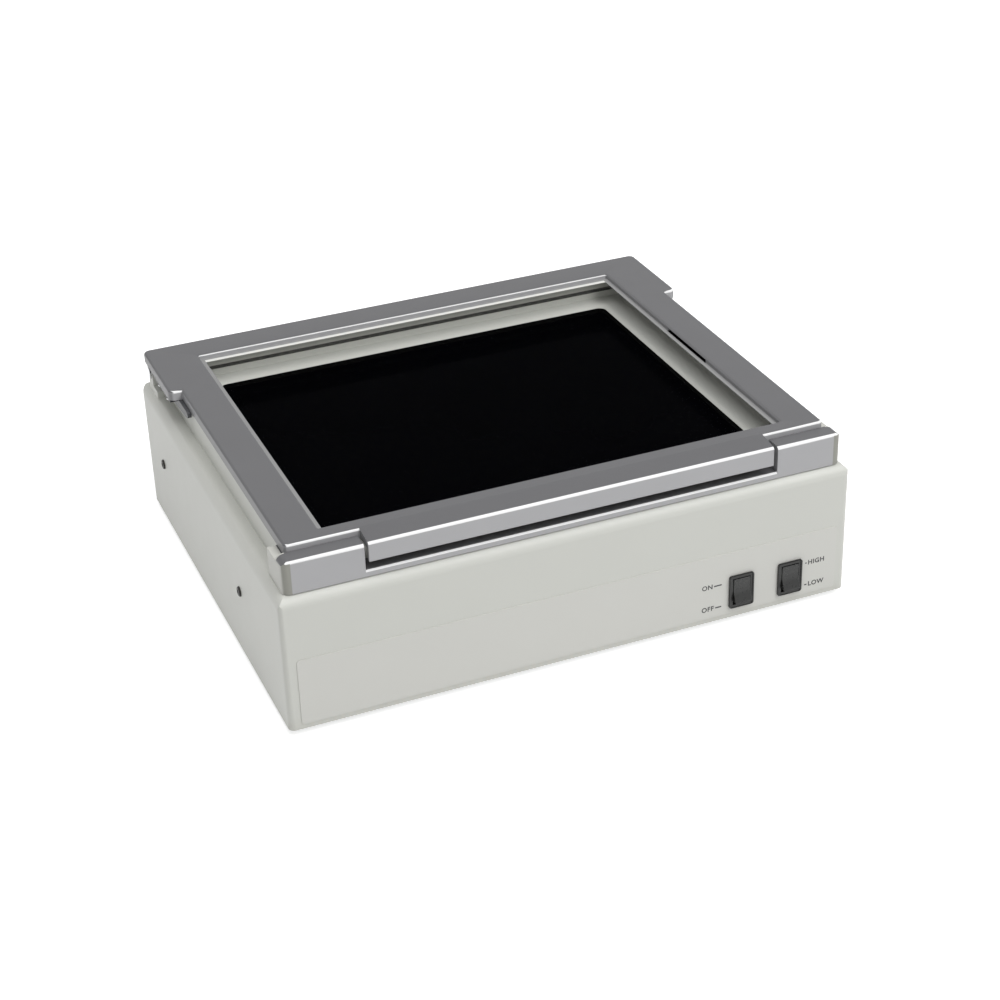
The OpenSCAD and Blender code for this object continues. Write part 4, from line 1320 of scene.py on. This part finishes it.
@dataclass
class RockerSwitch:
    """One rocker switch: a raised bezel with a pocket, and the rocker that tilts in it."""

    name: str
    body: Body
    centre_x: float
    centre_z: float = 21.3
    panel: float = -141.5
    film: float = 0.4
    proud: float = 2.0
    bezel: tuple[float, float] = (15.5, 21.0)
    bezel_corner: float = 1.2
    bezel_rim: float = 0.9
    bezel_sink: float = 0.5
    case: tuple[float, float] = (12.8, 18.8)
    case_lap: float = 0.7
    case_depth: float = 20.0
    case_edge: float = 0.25
    pocket: tuple[float, float] = (11.0, 17.2)
    pocket_depth: float = 12.6
    rocker: tuple[float, float] = (10.6, 14.8)
    rocker_reach: tuple[float, float] = (5.6, 4.6)
    rocker_edge: float = 0.45
    dip_half: float = 3.0
    dips: Triple = (1.0, 1.7, 1.0)
    rear_taper: float = 3.4
    pin: float = 1.2
    pin_gap: float = 0.1
    pivot_depth: float = 4.0
    tilt: float = 11.0

    def _slab(self, name: str, size: tuple[float, float], front: float, back: float) -> Blank:
        """Adds a box that is centred on the switch.

        Args:
            name: The blank's name.
            size: Its width and height.
            front: Its front in Y.
            back: Its rear in Y.

        Returns:
            The box.
        """
        half_w, half_h = size[0] / 2, size[1] / 2
        low = (self.centre_x - half_w, front, self.centre_z - half_h)
        return Blank.box(name, low, (self.centre_x + half_w, back, self.centre_z + half_h))

    def _central(self, middle: Vector, normal: Vector) -> bool:
        """Tells whether a face looks forwards and has its middle over the middle of the switch."""
        return normal.y < -0.9 and abs(middle.x - self.centre_x) < NEAR

    def build_case(self, dresser: Dresser) -> None:
        """Models the bezel and the case behind the panel.

        Args:
            dresser: What dresses the pieces.
        """
        face = self.panel - self.proud
        case = self._slab(f"{self.name}_bezel", self.bezel, face, self.panel - self.film)
        case.round_edges(along("Y"), self.bezel_corner, steps=4)
        case.inset(facing("Y", -1), self.bezel_rim)
        case.extrude(self._central, (0, self.bezel_sink, 0))
        case.join(self._slab("case", self.case, face + self.case_lap, self.panel + self.case_depth))
        case.cut(self._slab("pocket", self.pocket, face - PAST, face + self.pocket_depth))
        case.soften(self.case_edge, steps=2, angle=50.0)
        dresser.piece(case, Finishes.SWITCH, "switch_plastic", Body.HOUSING, f"{self.name}_switch_body")

    def build_rocker(self, dresser: Dresser) -> None:
        """Models the rocker, flat at first and then tilted about its pins.

        Args:
            dresser: What dresses the pieces.
        """
        pivot = self.panel - self.proud + self.pivot_depth
        front, back = pivot - self.rocker_reach[0], pivot + self.rocker_reach[1]
        middle, half = self.centre_z, self.dip_half
        rocker = self._slab(f"{self.name}_key", self.rocker, front, back)
        heights = (middle - half, middle, middle + half)
        for height in heights:
            rocker.slice((0, 0, height), (0, 0, 1))
        for height, dip in zip(heights, self.dips):
            rocker.shift(every(at_height(height), beyond("Y", front + NEAR, -1)), (0, dip, 0))
        for sign in (-1, 1):
            end = every(beyond("Y", back - NEAR), beyond("Z", middle + sign * (half + NEAR), sign))
            rocker.shift(end, (0, -self.rear_taper, 0))
        rocker.soften(self.rocker_edge, steps=3, angle=32.0)
        left, right = (self.centre_x + sign * (self.case[0] / 2 - self.pin_gap) for sign in (-1, 1))
        rocker.join(Blank.rod("pins", (left, pivot, middle), (right, pivot, middle), self.pin, 24))
        rocker.turn("X", -self.tilt, (self.centre_x, pivot, middle))
        dresser.piece(rocker, Finishes.ROCKER, "switch_plastic", self.body, f"{self.name}_rocker")

    def build(self, dresser: Dresser) -> None:
        """Models and dresses the whole switch."""
        self.build_case(dresser)
        self.build_rocker(dresser)


@dataclass
class FilterSeal:
    """The black lip of the gasket, which lines the cut edge of the lit opening."""

    half_width: float = 129.95
    half_depth: float = 104.95
    centre_y: float = -1.5
    low: float = 89.1
    high: float = 91.95
    wall: float = 0.7
    corner: float = 5.0
    edge: float = 0.15

    def build(self, dresser: Dresser) -> None:
        """Models and dresses the lip.

        Args:
            dresser: What dresses the pieces.
        """
        rings = [
            Blank.box(
                "gasket_lip",
                (-self.half_width + step, self.centre_y - self.half_depth + step, self.low - over),
                (self.half_width - step, self.centre_y + self.half_depth - step, self.high + over),
            ).round_edges(upright, self.corner - step)
            for step, over in ((0.0, 0.0), (self.wall, PAST))
        ]
        lip = rings[0].cut(rings[1]).soften(self.edge, steps=2, angle=50.0)
        dresser.piece(lip, Finishes.SEAL, "rubber", Body.HOUSING)


@dataclass
class Feet:
    """Four moulded rubber feet with a stepped sole and a sunk screw hole."""

    place: tuple[float, float] = (140.0, 111.5)
    radius: float = 9.0
    height: float = 4.0
    sole_edge: float = 0.9
    groove: Triple = (1.6, 0.9, 0.7)
    sink: tuple[float, float] = (4.1, 3.0)
    bore: float = 2.3

    def build(self, dresser: Dresser) -> None:
        """Models one foot and copies it to the four corners.

        Args:
            dresser: What dresses the pieces.
        """
        x, y = self.place
        start, width, depth = self.groove
        sink, sink_depth = self.sink

        def rod(name: str, low: float, high: float, radius: float, sides: int) -> Blank:
            """Adds an upright rod at the front left foot."""
            return Blank.rod(name, (-x, -y, low), (-x, -y, high), radius, sides)

        foot = rod("foot_front_left", 0, self.height, self.radius, 56)
        foot.round_edges(at_height(0), self.sole_edge, steps=4)
        groove = rod("groove", -PAST, depth, self.radius - start, 48)
        groove.cut(rod("core", -2 * PAST, depth + PAST, self.radius - start - width, 48))
        foot.cut(
            groove,
            rod("sink", -PAST, sink_depth, sink, 40),
            rod("bore", -PAST, self.height + PAST, self.bore, 32),
        )
        feet = [
            foot,
            foot.copy("foot_front_right", (2 * x, 0, 0)),
            foot.copy("foot_rear_left", (0, 2 * y, 0)),
            foot.copy("foot_rear_right", (2 * x, 2 * y, 0)),
        ]
        for one in feet:
            dresser.piece(one, Finishes.RUBBER, "rubber", Body.HOUSING, "rubber_feet")


@dataclass
class SideScrews:
    """Button-head screws with a hexagon socket, two on each side of the housing."""

    face: float = 170.0
    height: float = 47.5
    places: tuple[float, float] = (-61.5, 101.5)
    head: tuple[float, float] = (3.0, 1.2)
    head_round: float = 0.85
    shank: tuple[float, float] = (2.0, 9.0)
    shank_lap: float = 0.3
    socket: tuple[float, float] = (1.25, 0.8)

    def build(self, dresser: Dresser) -> None:
        """Models one screw and copies it to its four places.

        Args:
            dresser: What dresses the pieces.
        """
        front, rear = self.places

        def rod(name: str, near: float, far: float, radius: float, sides: int) -> Blank:
            """Adds a rod along X at the front left screw."""
            start, end = (-near, front, self.height), (-far, front, self.height)
            return Blank.rod(name, start, end, radius, sides)

        tip = self.face + self.head[1]
        screw = rod("side_screw_front_left", self.face, tip, self.head[0], 40)
        screw.round_edges(beyond("X", NEAR - tip, -1), self.head_round, steps=5)
        lap = self.face + self.shank_lap
        screw.join(rod("shank", self.face - self.shank[1], lap, self.shank[0], 32))
        screw.cut(rod("socket", tip - self.socket[1], tip + PAST, self.socket[0], 6))
        other = screw.copy("side_screw_rear_left", (0, rear - front, 0))
        front_right = screw.mirrored("side_screw_front_right")
        rear_right = other.mirrored("side_screw_rear_right")
        for one in (screw, other, front_right, rear_right):
            dresser.piece(one, Finishes.DARK_SCREW, "black_steel", Body.HOUSING, "side_screws")


@dataclass
class Inlet:
    """The mains inlet with its socket, and the fuse drawer above it."""

    x: float = 105.0
    z: float = 34.0
    panel: float = 141.5
    flange: Triple = (50.0, 32.0, 3.0)
    flange_corner: float = 4.0
    flange_edge: float = 0.9
    case: Triple = (28.0, 30.0, 22.0)
    case_edge: float = 0.25
    socket: Triple = (24.4, 16.6, 17.0)
    socket_z: float = 29.0
    socket_corner: float = 4.0
    socket_bend: float = 0.8
    drawer: Triple = (23.0, 7.4, 20.0)
    drawer_z: float = 43.4
    drawer_gap: float = 0.3
    drawer_edge: float = 0.3
    trough: tuple[float, float, float, float] = (10.4, 3.0, 8.6, 1.0)
    trough_bend: float = 2.0
    spare: tuple[float, float, float, float] = (9.5, 11.0, 16.6, 1.4)
    notch: Triple = (4.0, 1.4, 2.5)
    notch_bend: float = 1.2
    screw_pitch: float = 40.0
    screw_hole: float = 1.7

    def block(
        self, name: str, size: tuple[float, float], height: float, front: float, back: float
    ) -> Blank:
        """Adds a box that is centred on the inlet across its width.

        Args:
            name: The blank's name.
            size: Its width and height.
            height: Its middle in Z.
            front: Its front in Y.
            back: Its rear in Y.

        Returns:
            The box.
        """
        half_w, half_h = size[0] / 2, size[1] / 2
        low = (self.x - half_w, front, height - half_h)
        return Blank.box(name, low, (self.x + half_w, back, height + half_h))

    def hollow(self, name: str, plan: tuple[float, float, float, float]) -> Blank:
        """Adds a box that is sunk into the drawer from above.

        Args:
            name: The blank's name.
            plan: Half its width, its two ends behind the drawer's inner end, and its floor.

        Returns:
            The box.
        """
        half, start, end, floor = plan
        inner = self.panel + self.flange[2] - self.drawer[2]
        low, high = self.drawer_z - self.drawer[1] / 2, self.drawer_z + self.drawer[1] / 2
        corner = (self.x - half, inner + start, low + floor)
        return Blank.box(name, corner, (self.x + half, inner + end, high + PAST))

    def build_inlet(self, dresser: Dresser) -> None:
        """Models the inlet.

        Args:
            dresser: What dresses the pieces.
        """
        outer = self.panel + self.flange[2]
        inlet = self.block("inlet_case", self.flange[:2], self.z, self.panel, outer)
        inlet.round_edges(along("Y"), self.flange_corner, steps=8)
        inlet.round_edges(beyond("Y", outer - NEAR), self.flange_edge, steps=4)
        inner = self.panel - self.case[2]
        inlet.join(self.block("case", self.case[:2], self.z, inner, self.panel + PAST))
        inner = outer - self.socket[2]
        socket = self.block("socket", self.socket[:2], self.socket_z, inner, outer + PAST)
        socket.round_edges(every(along("Y"), beyond("Z", self.socket_z)), self.socket_corner, steps=1)
        socket.round_edges(along("Y"), self.socket_bend, steps=3)
        size = tuple(side + 2 * self.drawer_gap for side in self.drawer[:2])
        inner = outer - self.drawer[2] - self.drawer_gap
        channel = self.block("channel", size, self.drawer_z, inner, outer + PAST)
        holes = []
        for x in (self.x - self.screw_pitch / 2, self.x + self.screw_pitch / 2):
            start, end = (x, self.panel - PAST, self.z), (x, outer + PAST, self.z)
            holes.append(Blank.rod("hole", start, end, self.screw_hole, 28))
        inlet.cut(socket, channel, *holes)
        inlet.soften(self.case_edge, steps=2, angle=50.0)
        dresser.piece(inlet, Finishes.BLACK, "black_plastic", Body.HOUSING, "power_inlet")

    def build_drawer(self, dresser: Dresser) -> None:
        """Models the fuse drawer with its trough and the notch for a fingernail.

        Args:
            dresser: What dresses the pieces.
        """
        outer = self.panel + self.flange[2]
        low = self.drawer_z - self.drawer[1] / 2
        drawer = self.block("fuse_tray", self.drawer[:2], self.drawer_z, outer - self.drawer[2], outer)
        trough = self.hollow("trough", self.trough)
        trough.round_edges(every(along("X"), beyond("Z", self.drawer_z, -1)), self.trough_bend, steps=5)
        spare = self.hollow("spare", self.spare)
        half, depth, height = self.notch
        start = (self.x - half, outer - depth, low - PAST)
        notch = Blank.box("notch", start, (self.x + half, outer + PAST, low + height))
        notch.round_edges(every(along("Y"), beyond("Z", low)), self.notch_bend, steps=4)
        drawer.cut(trough, spare, notch)
        drawer.soften(self.drawer_edge, steps=2, angle=50.0)
        dresser.piece(drawer, Finishes.BLACK, "black_plastic", Body.FUSE_DRAWER, "fuse_drawer")

    def build(self, dresser: Dresser) -> None:
        """Models and dresses the inlet and its drawer."""
        self.build_inlet(dresser)
        self.build_drawer(dresser)


@dataclass
class FanRotor:
    """The fan's hub with twisted blades."""

    x: float = -95.0
    z: float = 45.0
    front: float = 122.5
    back: float = 138.5
    hub: float = 12.5
    hub_wall: float = 1.5
    hub_edge: float = 1.4
    boss: float = 3.2
    boss_sink: float = 1.0
    blades: int = 7
    blade_start: float = 11.5
    blade_end: float = 26.2
    blade_y: float = 130.5
    blade_corner: float = 3.0
    chord: float = 13.6
    thickness: float = 1.2
    pitch: tuple[float, float] = (46.0, 31.0)
    steps: int = 6

    def blade(self) -> Blank:
        """Models the upright blade, flatter towards its tip.

        Returns:
            The blade.
        """
        start, end = self.z + self.blade_start, self.z + self.blade_end
        half, thin = self.chord / 2, self.thickness / 2
        low = (self.x - half, self.blade_y - thin, start)
        blade = Blank.box("blade", low, (self.x + half, self.blade_y + thin, end))
        heights = [start + (end - start) * step / self.steps for step in range(self.steps + 1)]
        for height in heights[1:-1]:
            blade.slice((0, 0, height), (0, 0, 1))
        blade.round_edges(every(along("Y"), beyond("Z", end - NEAR)), self.blade_corner, steps=4)
        root, tip = self.pitch
        about = (self.x, self.blade_y, 0)
        for step, height in enumerate(heights[:-1]):
            blade.turn("Z", root + (tip - root) * step / self.steps, about, at_height(height))
        return blade.turn("Z", tip, about, beyond("Z", heights[-2] + NEAR))

    def build(self, dresser: Dresser) -> None:
        """Models one blade, copies it round the hub and joins them.

        Args:
            dresser: What dresses the pieces.
        """

        def rod(name: str, start: float, end: float, radius: float, sides: int) -> Blank:
            """Adds a rod on the fan's axis."""
            return Blank.rod(name, (self.x, start, self.z), (self.x, end, self.z), radius, sides)

        hub = rod("fan_wheel", self.front, self.back, self.hub, 72)
        hub.round_edges(beyond("Y", self.back - NEAR), self.hub_edge, steps=4)
        wall = self.hub_wall
        hub.cut(rod("hollow", self.front - PAST, self.back - wall, self.hub - wall, 64))
        hub.join(rod("boss", self.front, self.back - self.boss_sink, self.boss, 32))
        first = self.blade()
        turns = (360 * step / self.blades for step in range(1, self.blades))
        centre = (self.x, 0.0, self.z)
        hub.join(first, *[first.copy("blade").turn("Y", turn, centre) for turn in turns])
        dresser.piece(hub, Finishes.BLACK, "black_plastic", Body.FAN_ROTOR, "fan_rotor")


class Side(Enum):
    """The side of a switch on which its words stand."""

    LEFT = "LEFT"
    RIGHT = "RIGHT"


@dataclass
class PanelWords:
    """The plain words beside the switches, printed on the film, each with a line to its switch."""

    panel: float = -141.9
    size: float = 4.2
    weight: float = 0.09
    thickness: float = 0.05
    reach: float = 12.6
    line_gap: float = 1.0
    line_half: float = 0.4
    spacing: float = 1.1
    starts: tuple[float, float] = (12.4, 10.4)
    rises: tuple[float, float] = (6.4, -8.2)

    def word(self, name: str, text: str, edge: float, height: float, side: Side) -> Blank:
        """Sets one word and turns it into a mesh.

        Args:
            name: The piece's name.
            text: The word.
            edge: Where its line starts along X.
            height: The middle of the word along Z.
            side: The side of the switch that it stands on.

        Returns:
            The word's mesh.
        """
        sign = -1 if side is Side.LEFT else 1
        far = edge + sign * self.reach
        deselect()
        place = (far * MM, self.panel * MM, height * MM)
        bpy.ops.object.text_add(location=place, rotation=(math.pi / 2, 0, 0))
        letters = bpy.context.object.data
        letters.body = text
        letters.size = self.size * MM
        letters.offset = self.weight * MM
        letters.align_x = side.value
        letters.align_y = "CENTER"
        letters.extrude = self.thickness * MM
        letters.space_character = self.spacing
        bpy.ops.object.convert(target="MESH")
        word = Blank.adopt(name)
        ends = [vert.co.x / MM for vert in word.obj.data.vertices]
        near = (max(ends) if sign < 0 else min(ends)) - sign * self.line_gap
        low, high = sorted((edge, near))
        front, rear = self.panel - self.thickness, self.panel + self.thickness
        line = Blank.box(
            "line", (low, front, height - self.line_half), (high, rear, height + self.line_half)
        )
        return word.merge(line)

    def build(self, dresser: Dresser, housing: Housing) -> None:
        """Prints all the words.

        Args:
            dresser: What dresses the pieces.
            housing: The housing with the switches.
        """
        left, right = housing.switch_x[0] - self.starts[0], housing.switch_x[1] + self.starts[1]
        upper, lower = (housing.switch_z + rise for rise in self.rises)
        for name, text, edge, height, side in (
            ("word_on", "ON", left, upper, Side.LEFT),
            ("word_off", "OFF", left, lower, Side.LEFT),
            ("word_high", "HIGH", right, upper, Side.RIGHT),
            ("word_low", "LOW", right, lower, Side.RIGHT),
        ):
            word = self.word(name, text, edge, height, side)
            dresser.piece(word, Finishes.INK, "panel_film", Body.HOUSING)


SCREWS_AND_NUTS = (
    "foot_screws",
    "foot_nuts",
    "side_nuts",
    "bezel_screws",
    "retainer_screws",
    "reflector_screws",
    "ballast_screws",
    "inlet_screws",
    "inlet_nuts",
    "fan_screws",
    "bracket_screws",
    "arm_screws",
)
SOLID_FINISHES: tuple[tuple[Finish, tuple[str, ...]], ...] = (
    (Finishes.ZINC, ("base_tray", "filter_retainer", "lamp_brackets")),
    (Finishes.SCREW, SCREWS_AND_NUTS),
    (Finishes.FILM, ("front_film",)),
    (Finishes.FILTER, ("filter_glass",)),
    (Finishes.RUBBER, ("filter_gasket",)),
    (Finishes.REFLECTOR, ("reflector",)),
    (Finishes.WHITE, ("lamp_holders", "terminal_block")),
    (Finishes.LAMP, ("lamp_tubes",)),
    (Finishes.CAP, ("lamp_caps",)),
    (Finishes.BALLAST, ("ballasts",)),
    (Finishes.BRASS, ("inlet_pins", "switch_terminals")),
    (Finishes.FUSE, ("fuse",)),
    (Finishes.BLACK, ("fan_frame",)),
    (Finishes.COAT, ("hinge_brackets",)),
    (Finishes.PIN, ("hinge_pins",)),
    (Finishes.NYLON, ("hinge_washers",)),
    (Finishes.HINGE, ("hinge_arms",)),
)


# ------------------------------------------------------------------ studio


@dataclass(frozen=True)
class Softbox:
    """One large area lamp aimed at the instrument."""

    name: str
    place: Triple
    power: float
    size: float

    def build(self, target: Vector) -> None:
        """Adds the lamp.

        Args:
            target: What the lamp points at, in metres.
        """
        deselect()
        place = Vector(self.place)
        turn = (target - place).to_track_quat("-Z", "Y").to_euler()
        bpy.ops.object.light_add(type="AREA", location=place, rotation=turn)
        lamp = bpy.context.object
        lamp.name = self.name
        lamp.data.energy = self.power
        lamp.data.size = self.size


@dataclass
class Studio:
    """A pale floor, soft lamps and the camera, all placed in metres."""

    eye: Triple = (-0.403532, -1.041477, 0.666755)
    yaw: float = 21.737
    pitch: float = 29.620
    roll: float = -1.968
    lens: float = 76.073
    sensor: float = 36.0
    target: Triple = (0.0, 0.0, 0.06)
    ambient: float = 0.36
    floor_size: float = 30.0
    floor_drop: float = 0.0002
    floor_tone: float = 0.8
    floor_glow: float = 0.6
    lamps: tuple[Softbox, ...] = (
        Softbox("key", (0.8, -1.25, 1.75), 24.5, 1.2),
        Softbox("fill", (-1.1, -1.6, 1.0), 1.2, 1.2),
        Softbox("top", (-0.3, -0.1, 1.9), 15.5, 1.5),
    )

    def camera(self) -> None:
        """Adds the camera."""
        yaw, pitch, roll = (math.radians(angle) for angle in (self.yaw, self.pitch, self.roll))
        ahead = Vector(
            (math.sin(yaw) * math.cos(pitch), math.cos(yaw) * math.cos(pitch), -math.sin(pitch))
        )
        level = Vector((math.cos(yaw), -math.sin(yaw), 0.0))
        above = level.cross(ahead)
        right = level * math.cos(roll) + above * math.sin(roll)
        up = above * math.cos(roll) - level * math.sin(roll)
        deselect()
        bpy.ops.object.camera_add()
        camera = bpy.context.object
        camera.name = "camera"
        camera.data.lens = self.lens
        camera.data.sensor_width = self.sensor
        turn = Matrix((right, up, -ahead)).transposed().to_4x4()
        camera.matrix_world = Matrix.Translation(Vector(self.eye)) @ turn
        bpy.context.scene.camera = camera

    @staticmethod
    def _seen(tree: bpy.types.NodeTree) -> bpy.types.NodeSocket:
        """Returns 1 for rays that show the background itself.

        Args:
            tree: The nodes of the world or of a material.

        Returns:
            The socket with that value.
        """
        path = tree.nodes.new("ShaderNodeLightPath")
        total = path.outputs["Is Camera Ray"]
        for name in ("Is Glossy Ray", "Is Transmission Ray"):
            add = tree.nodes.new("ShaderNodeMath")
            add.operation = "MAXIMUM"
            tree.links.new(total, add.inputs[0])
            tree.links.new(path.outputs[name], add.inputs[1])
            total = add.outputs[0]
        return total

    def world(self) -> None:
        """Sets an even white world."""
        world = bpy.data.worlds.new("studio")
        bpy.context.scene.world = world
        world.use_nodes = True
        tree = world.node_tree
        back = tree.nodes["Background"]
        back.inputs["Color"].default_value = (1, 1, 1, 1)
        level = tree.nodes.new("ShaderNodeMapRange")
        tree.links.new(self._seen(tree), level.inputs[0])
        level.inputs[3].default_value = self.ambient
        level.inputs[4].default_value = 1.0
        tree.links.new(level.outputs[0], back.inputs["Strength"])

    def floor(self) -> None:
        """Adds a pale floor that takes the instrument's shadow and is see-through from below."""
        deselect()
        bpy.ops.mesh.primitive_plane_add(size=self.floor_size, location=(0, 0, -self.floor_drop))
        floor = bpy.context.object
        floor.name = "floor"
        material = bpy.data.materials.new("pale_floor")
        material.use_nodes = True
        tree = material.node_tree
        tree.nodes.remove(tree.nodes["Principled BSDF"])
        matt = tree.nodes.new("ShaderNodeBsdfDiffuse")
        matt.inputs["Color"].default_value = (self.floor_tone,) * 3 + (1,)
        glow = tree.nodes.new("ShaderNodeEmission")
        level = tree.nodes.new("ShaderNodeMath")
        level.operation = "MULTIPLY"
        level.inputs[1].default_value = self.floor_glow
        tree.links.new(self._seen(tree), level.inputs[0])
        tree.links.new(level.outputs[0], glow.inputs["Strength"])
        both = tree.nodes.new("ShaderNodeAddShader")
        tree.links.new(matt.outputs[0], both.inputs[0])
        tree.links.new(glow.outputs[0], both.inputs[1])
        below = tree.nodes.new("ShaderNodeMixShader")
        side = tree.nodes.new("ShaderNodeNewGeometry")
        tree.links.new(side.outputs["Backfacing"], below.inputs[0])
        tree.links.new(both.outputs[0], below.inputs[1])
        tree.links.new(tree.nodes.new("ShaderNodeBsdfTransparent").outputs[0], below.inputs[2])
        tree.links.new(below.outputs[0], tree.nodes["Material Output"].inputs["Surface"])
        floor.data.materials.append(material)

    def build(self) -> None:
        """Sets up the whole studio."""
        bpy.context.scene.view_settings.view_transform = "Standard"
        self.camera()
        self.world()
        self.floor()
        for lamp in self.lamps:
            lamp.build(Vector(self.target))


def main() -> None:
    """Builds every piece."""
    logging.basicConfig(level=logging.INFO, format="%(name)s: %(message)s")
    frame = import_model()
    Studio().build()
    dresser = Dresser(Finishes(), frame["nodes"])
    housing = Housing()
    housing.build(dresser)
    FrontTrim().build(dresser)
    Cover().build(dresser)
    for name, body, place in (
        ("power", Body.POWER_ROCKER, housing.switch_x[0]),
        ("intensity", Body.INTENSITY_ROCKER, housing.switch_x[1]),
    ):
        RockerSwitch(name, body, place).build(dresser)
    PanelWords().build(dresser, housing)
    for assembly in (FilterSeal(), Feet(), SideScrews(), Inlet(), FanRotor()):
        assembly.build(dresser)
    for finish, names in SOLID_FINISHES:
        for name in names:
            dresser.solid(name, finish)


if __name__ == "__main__":
    main()
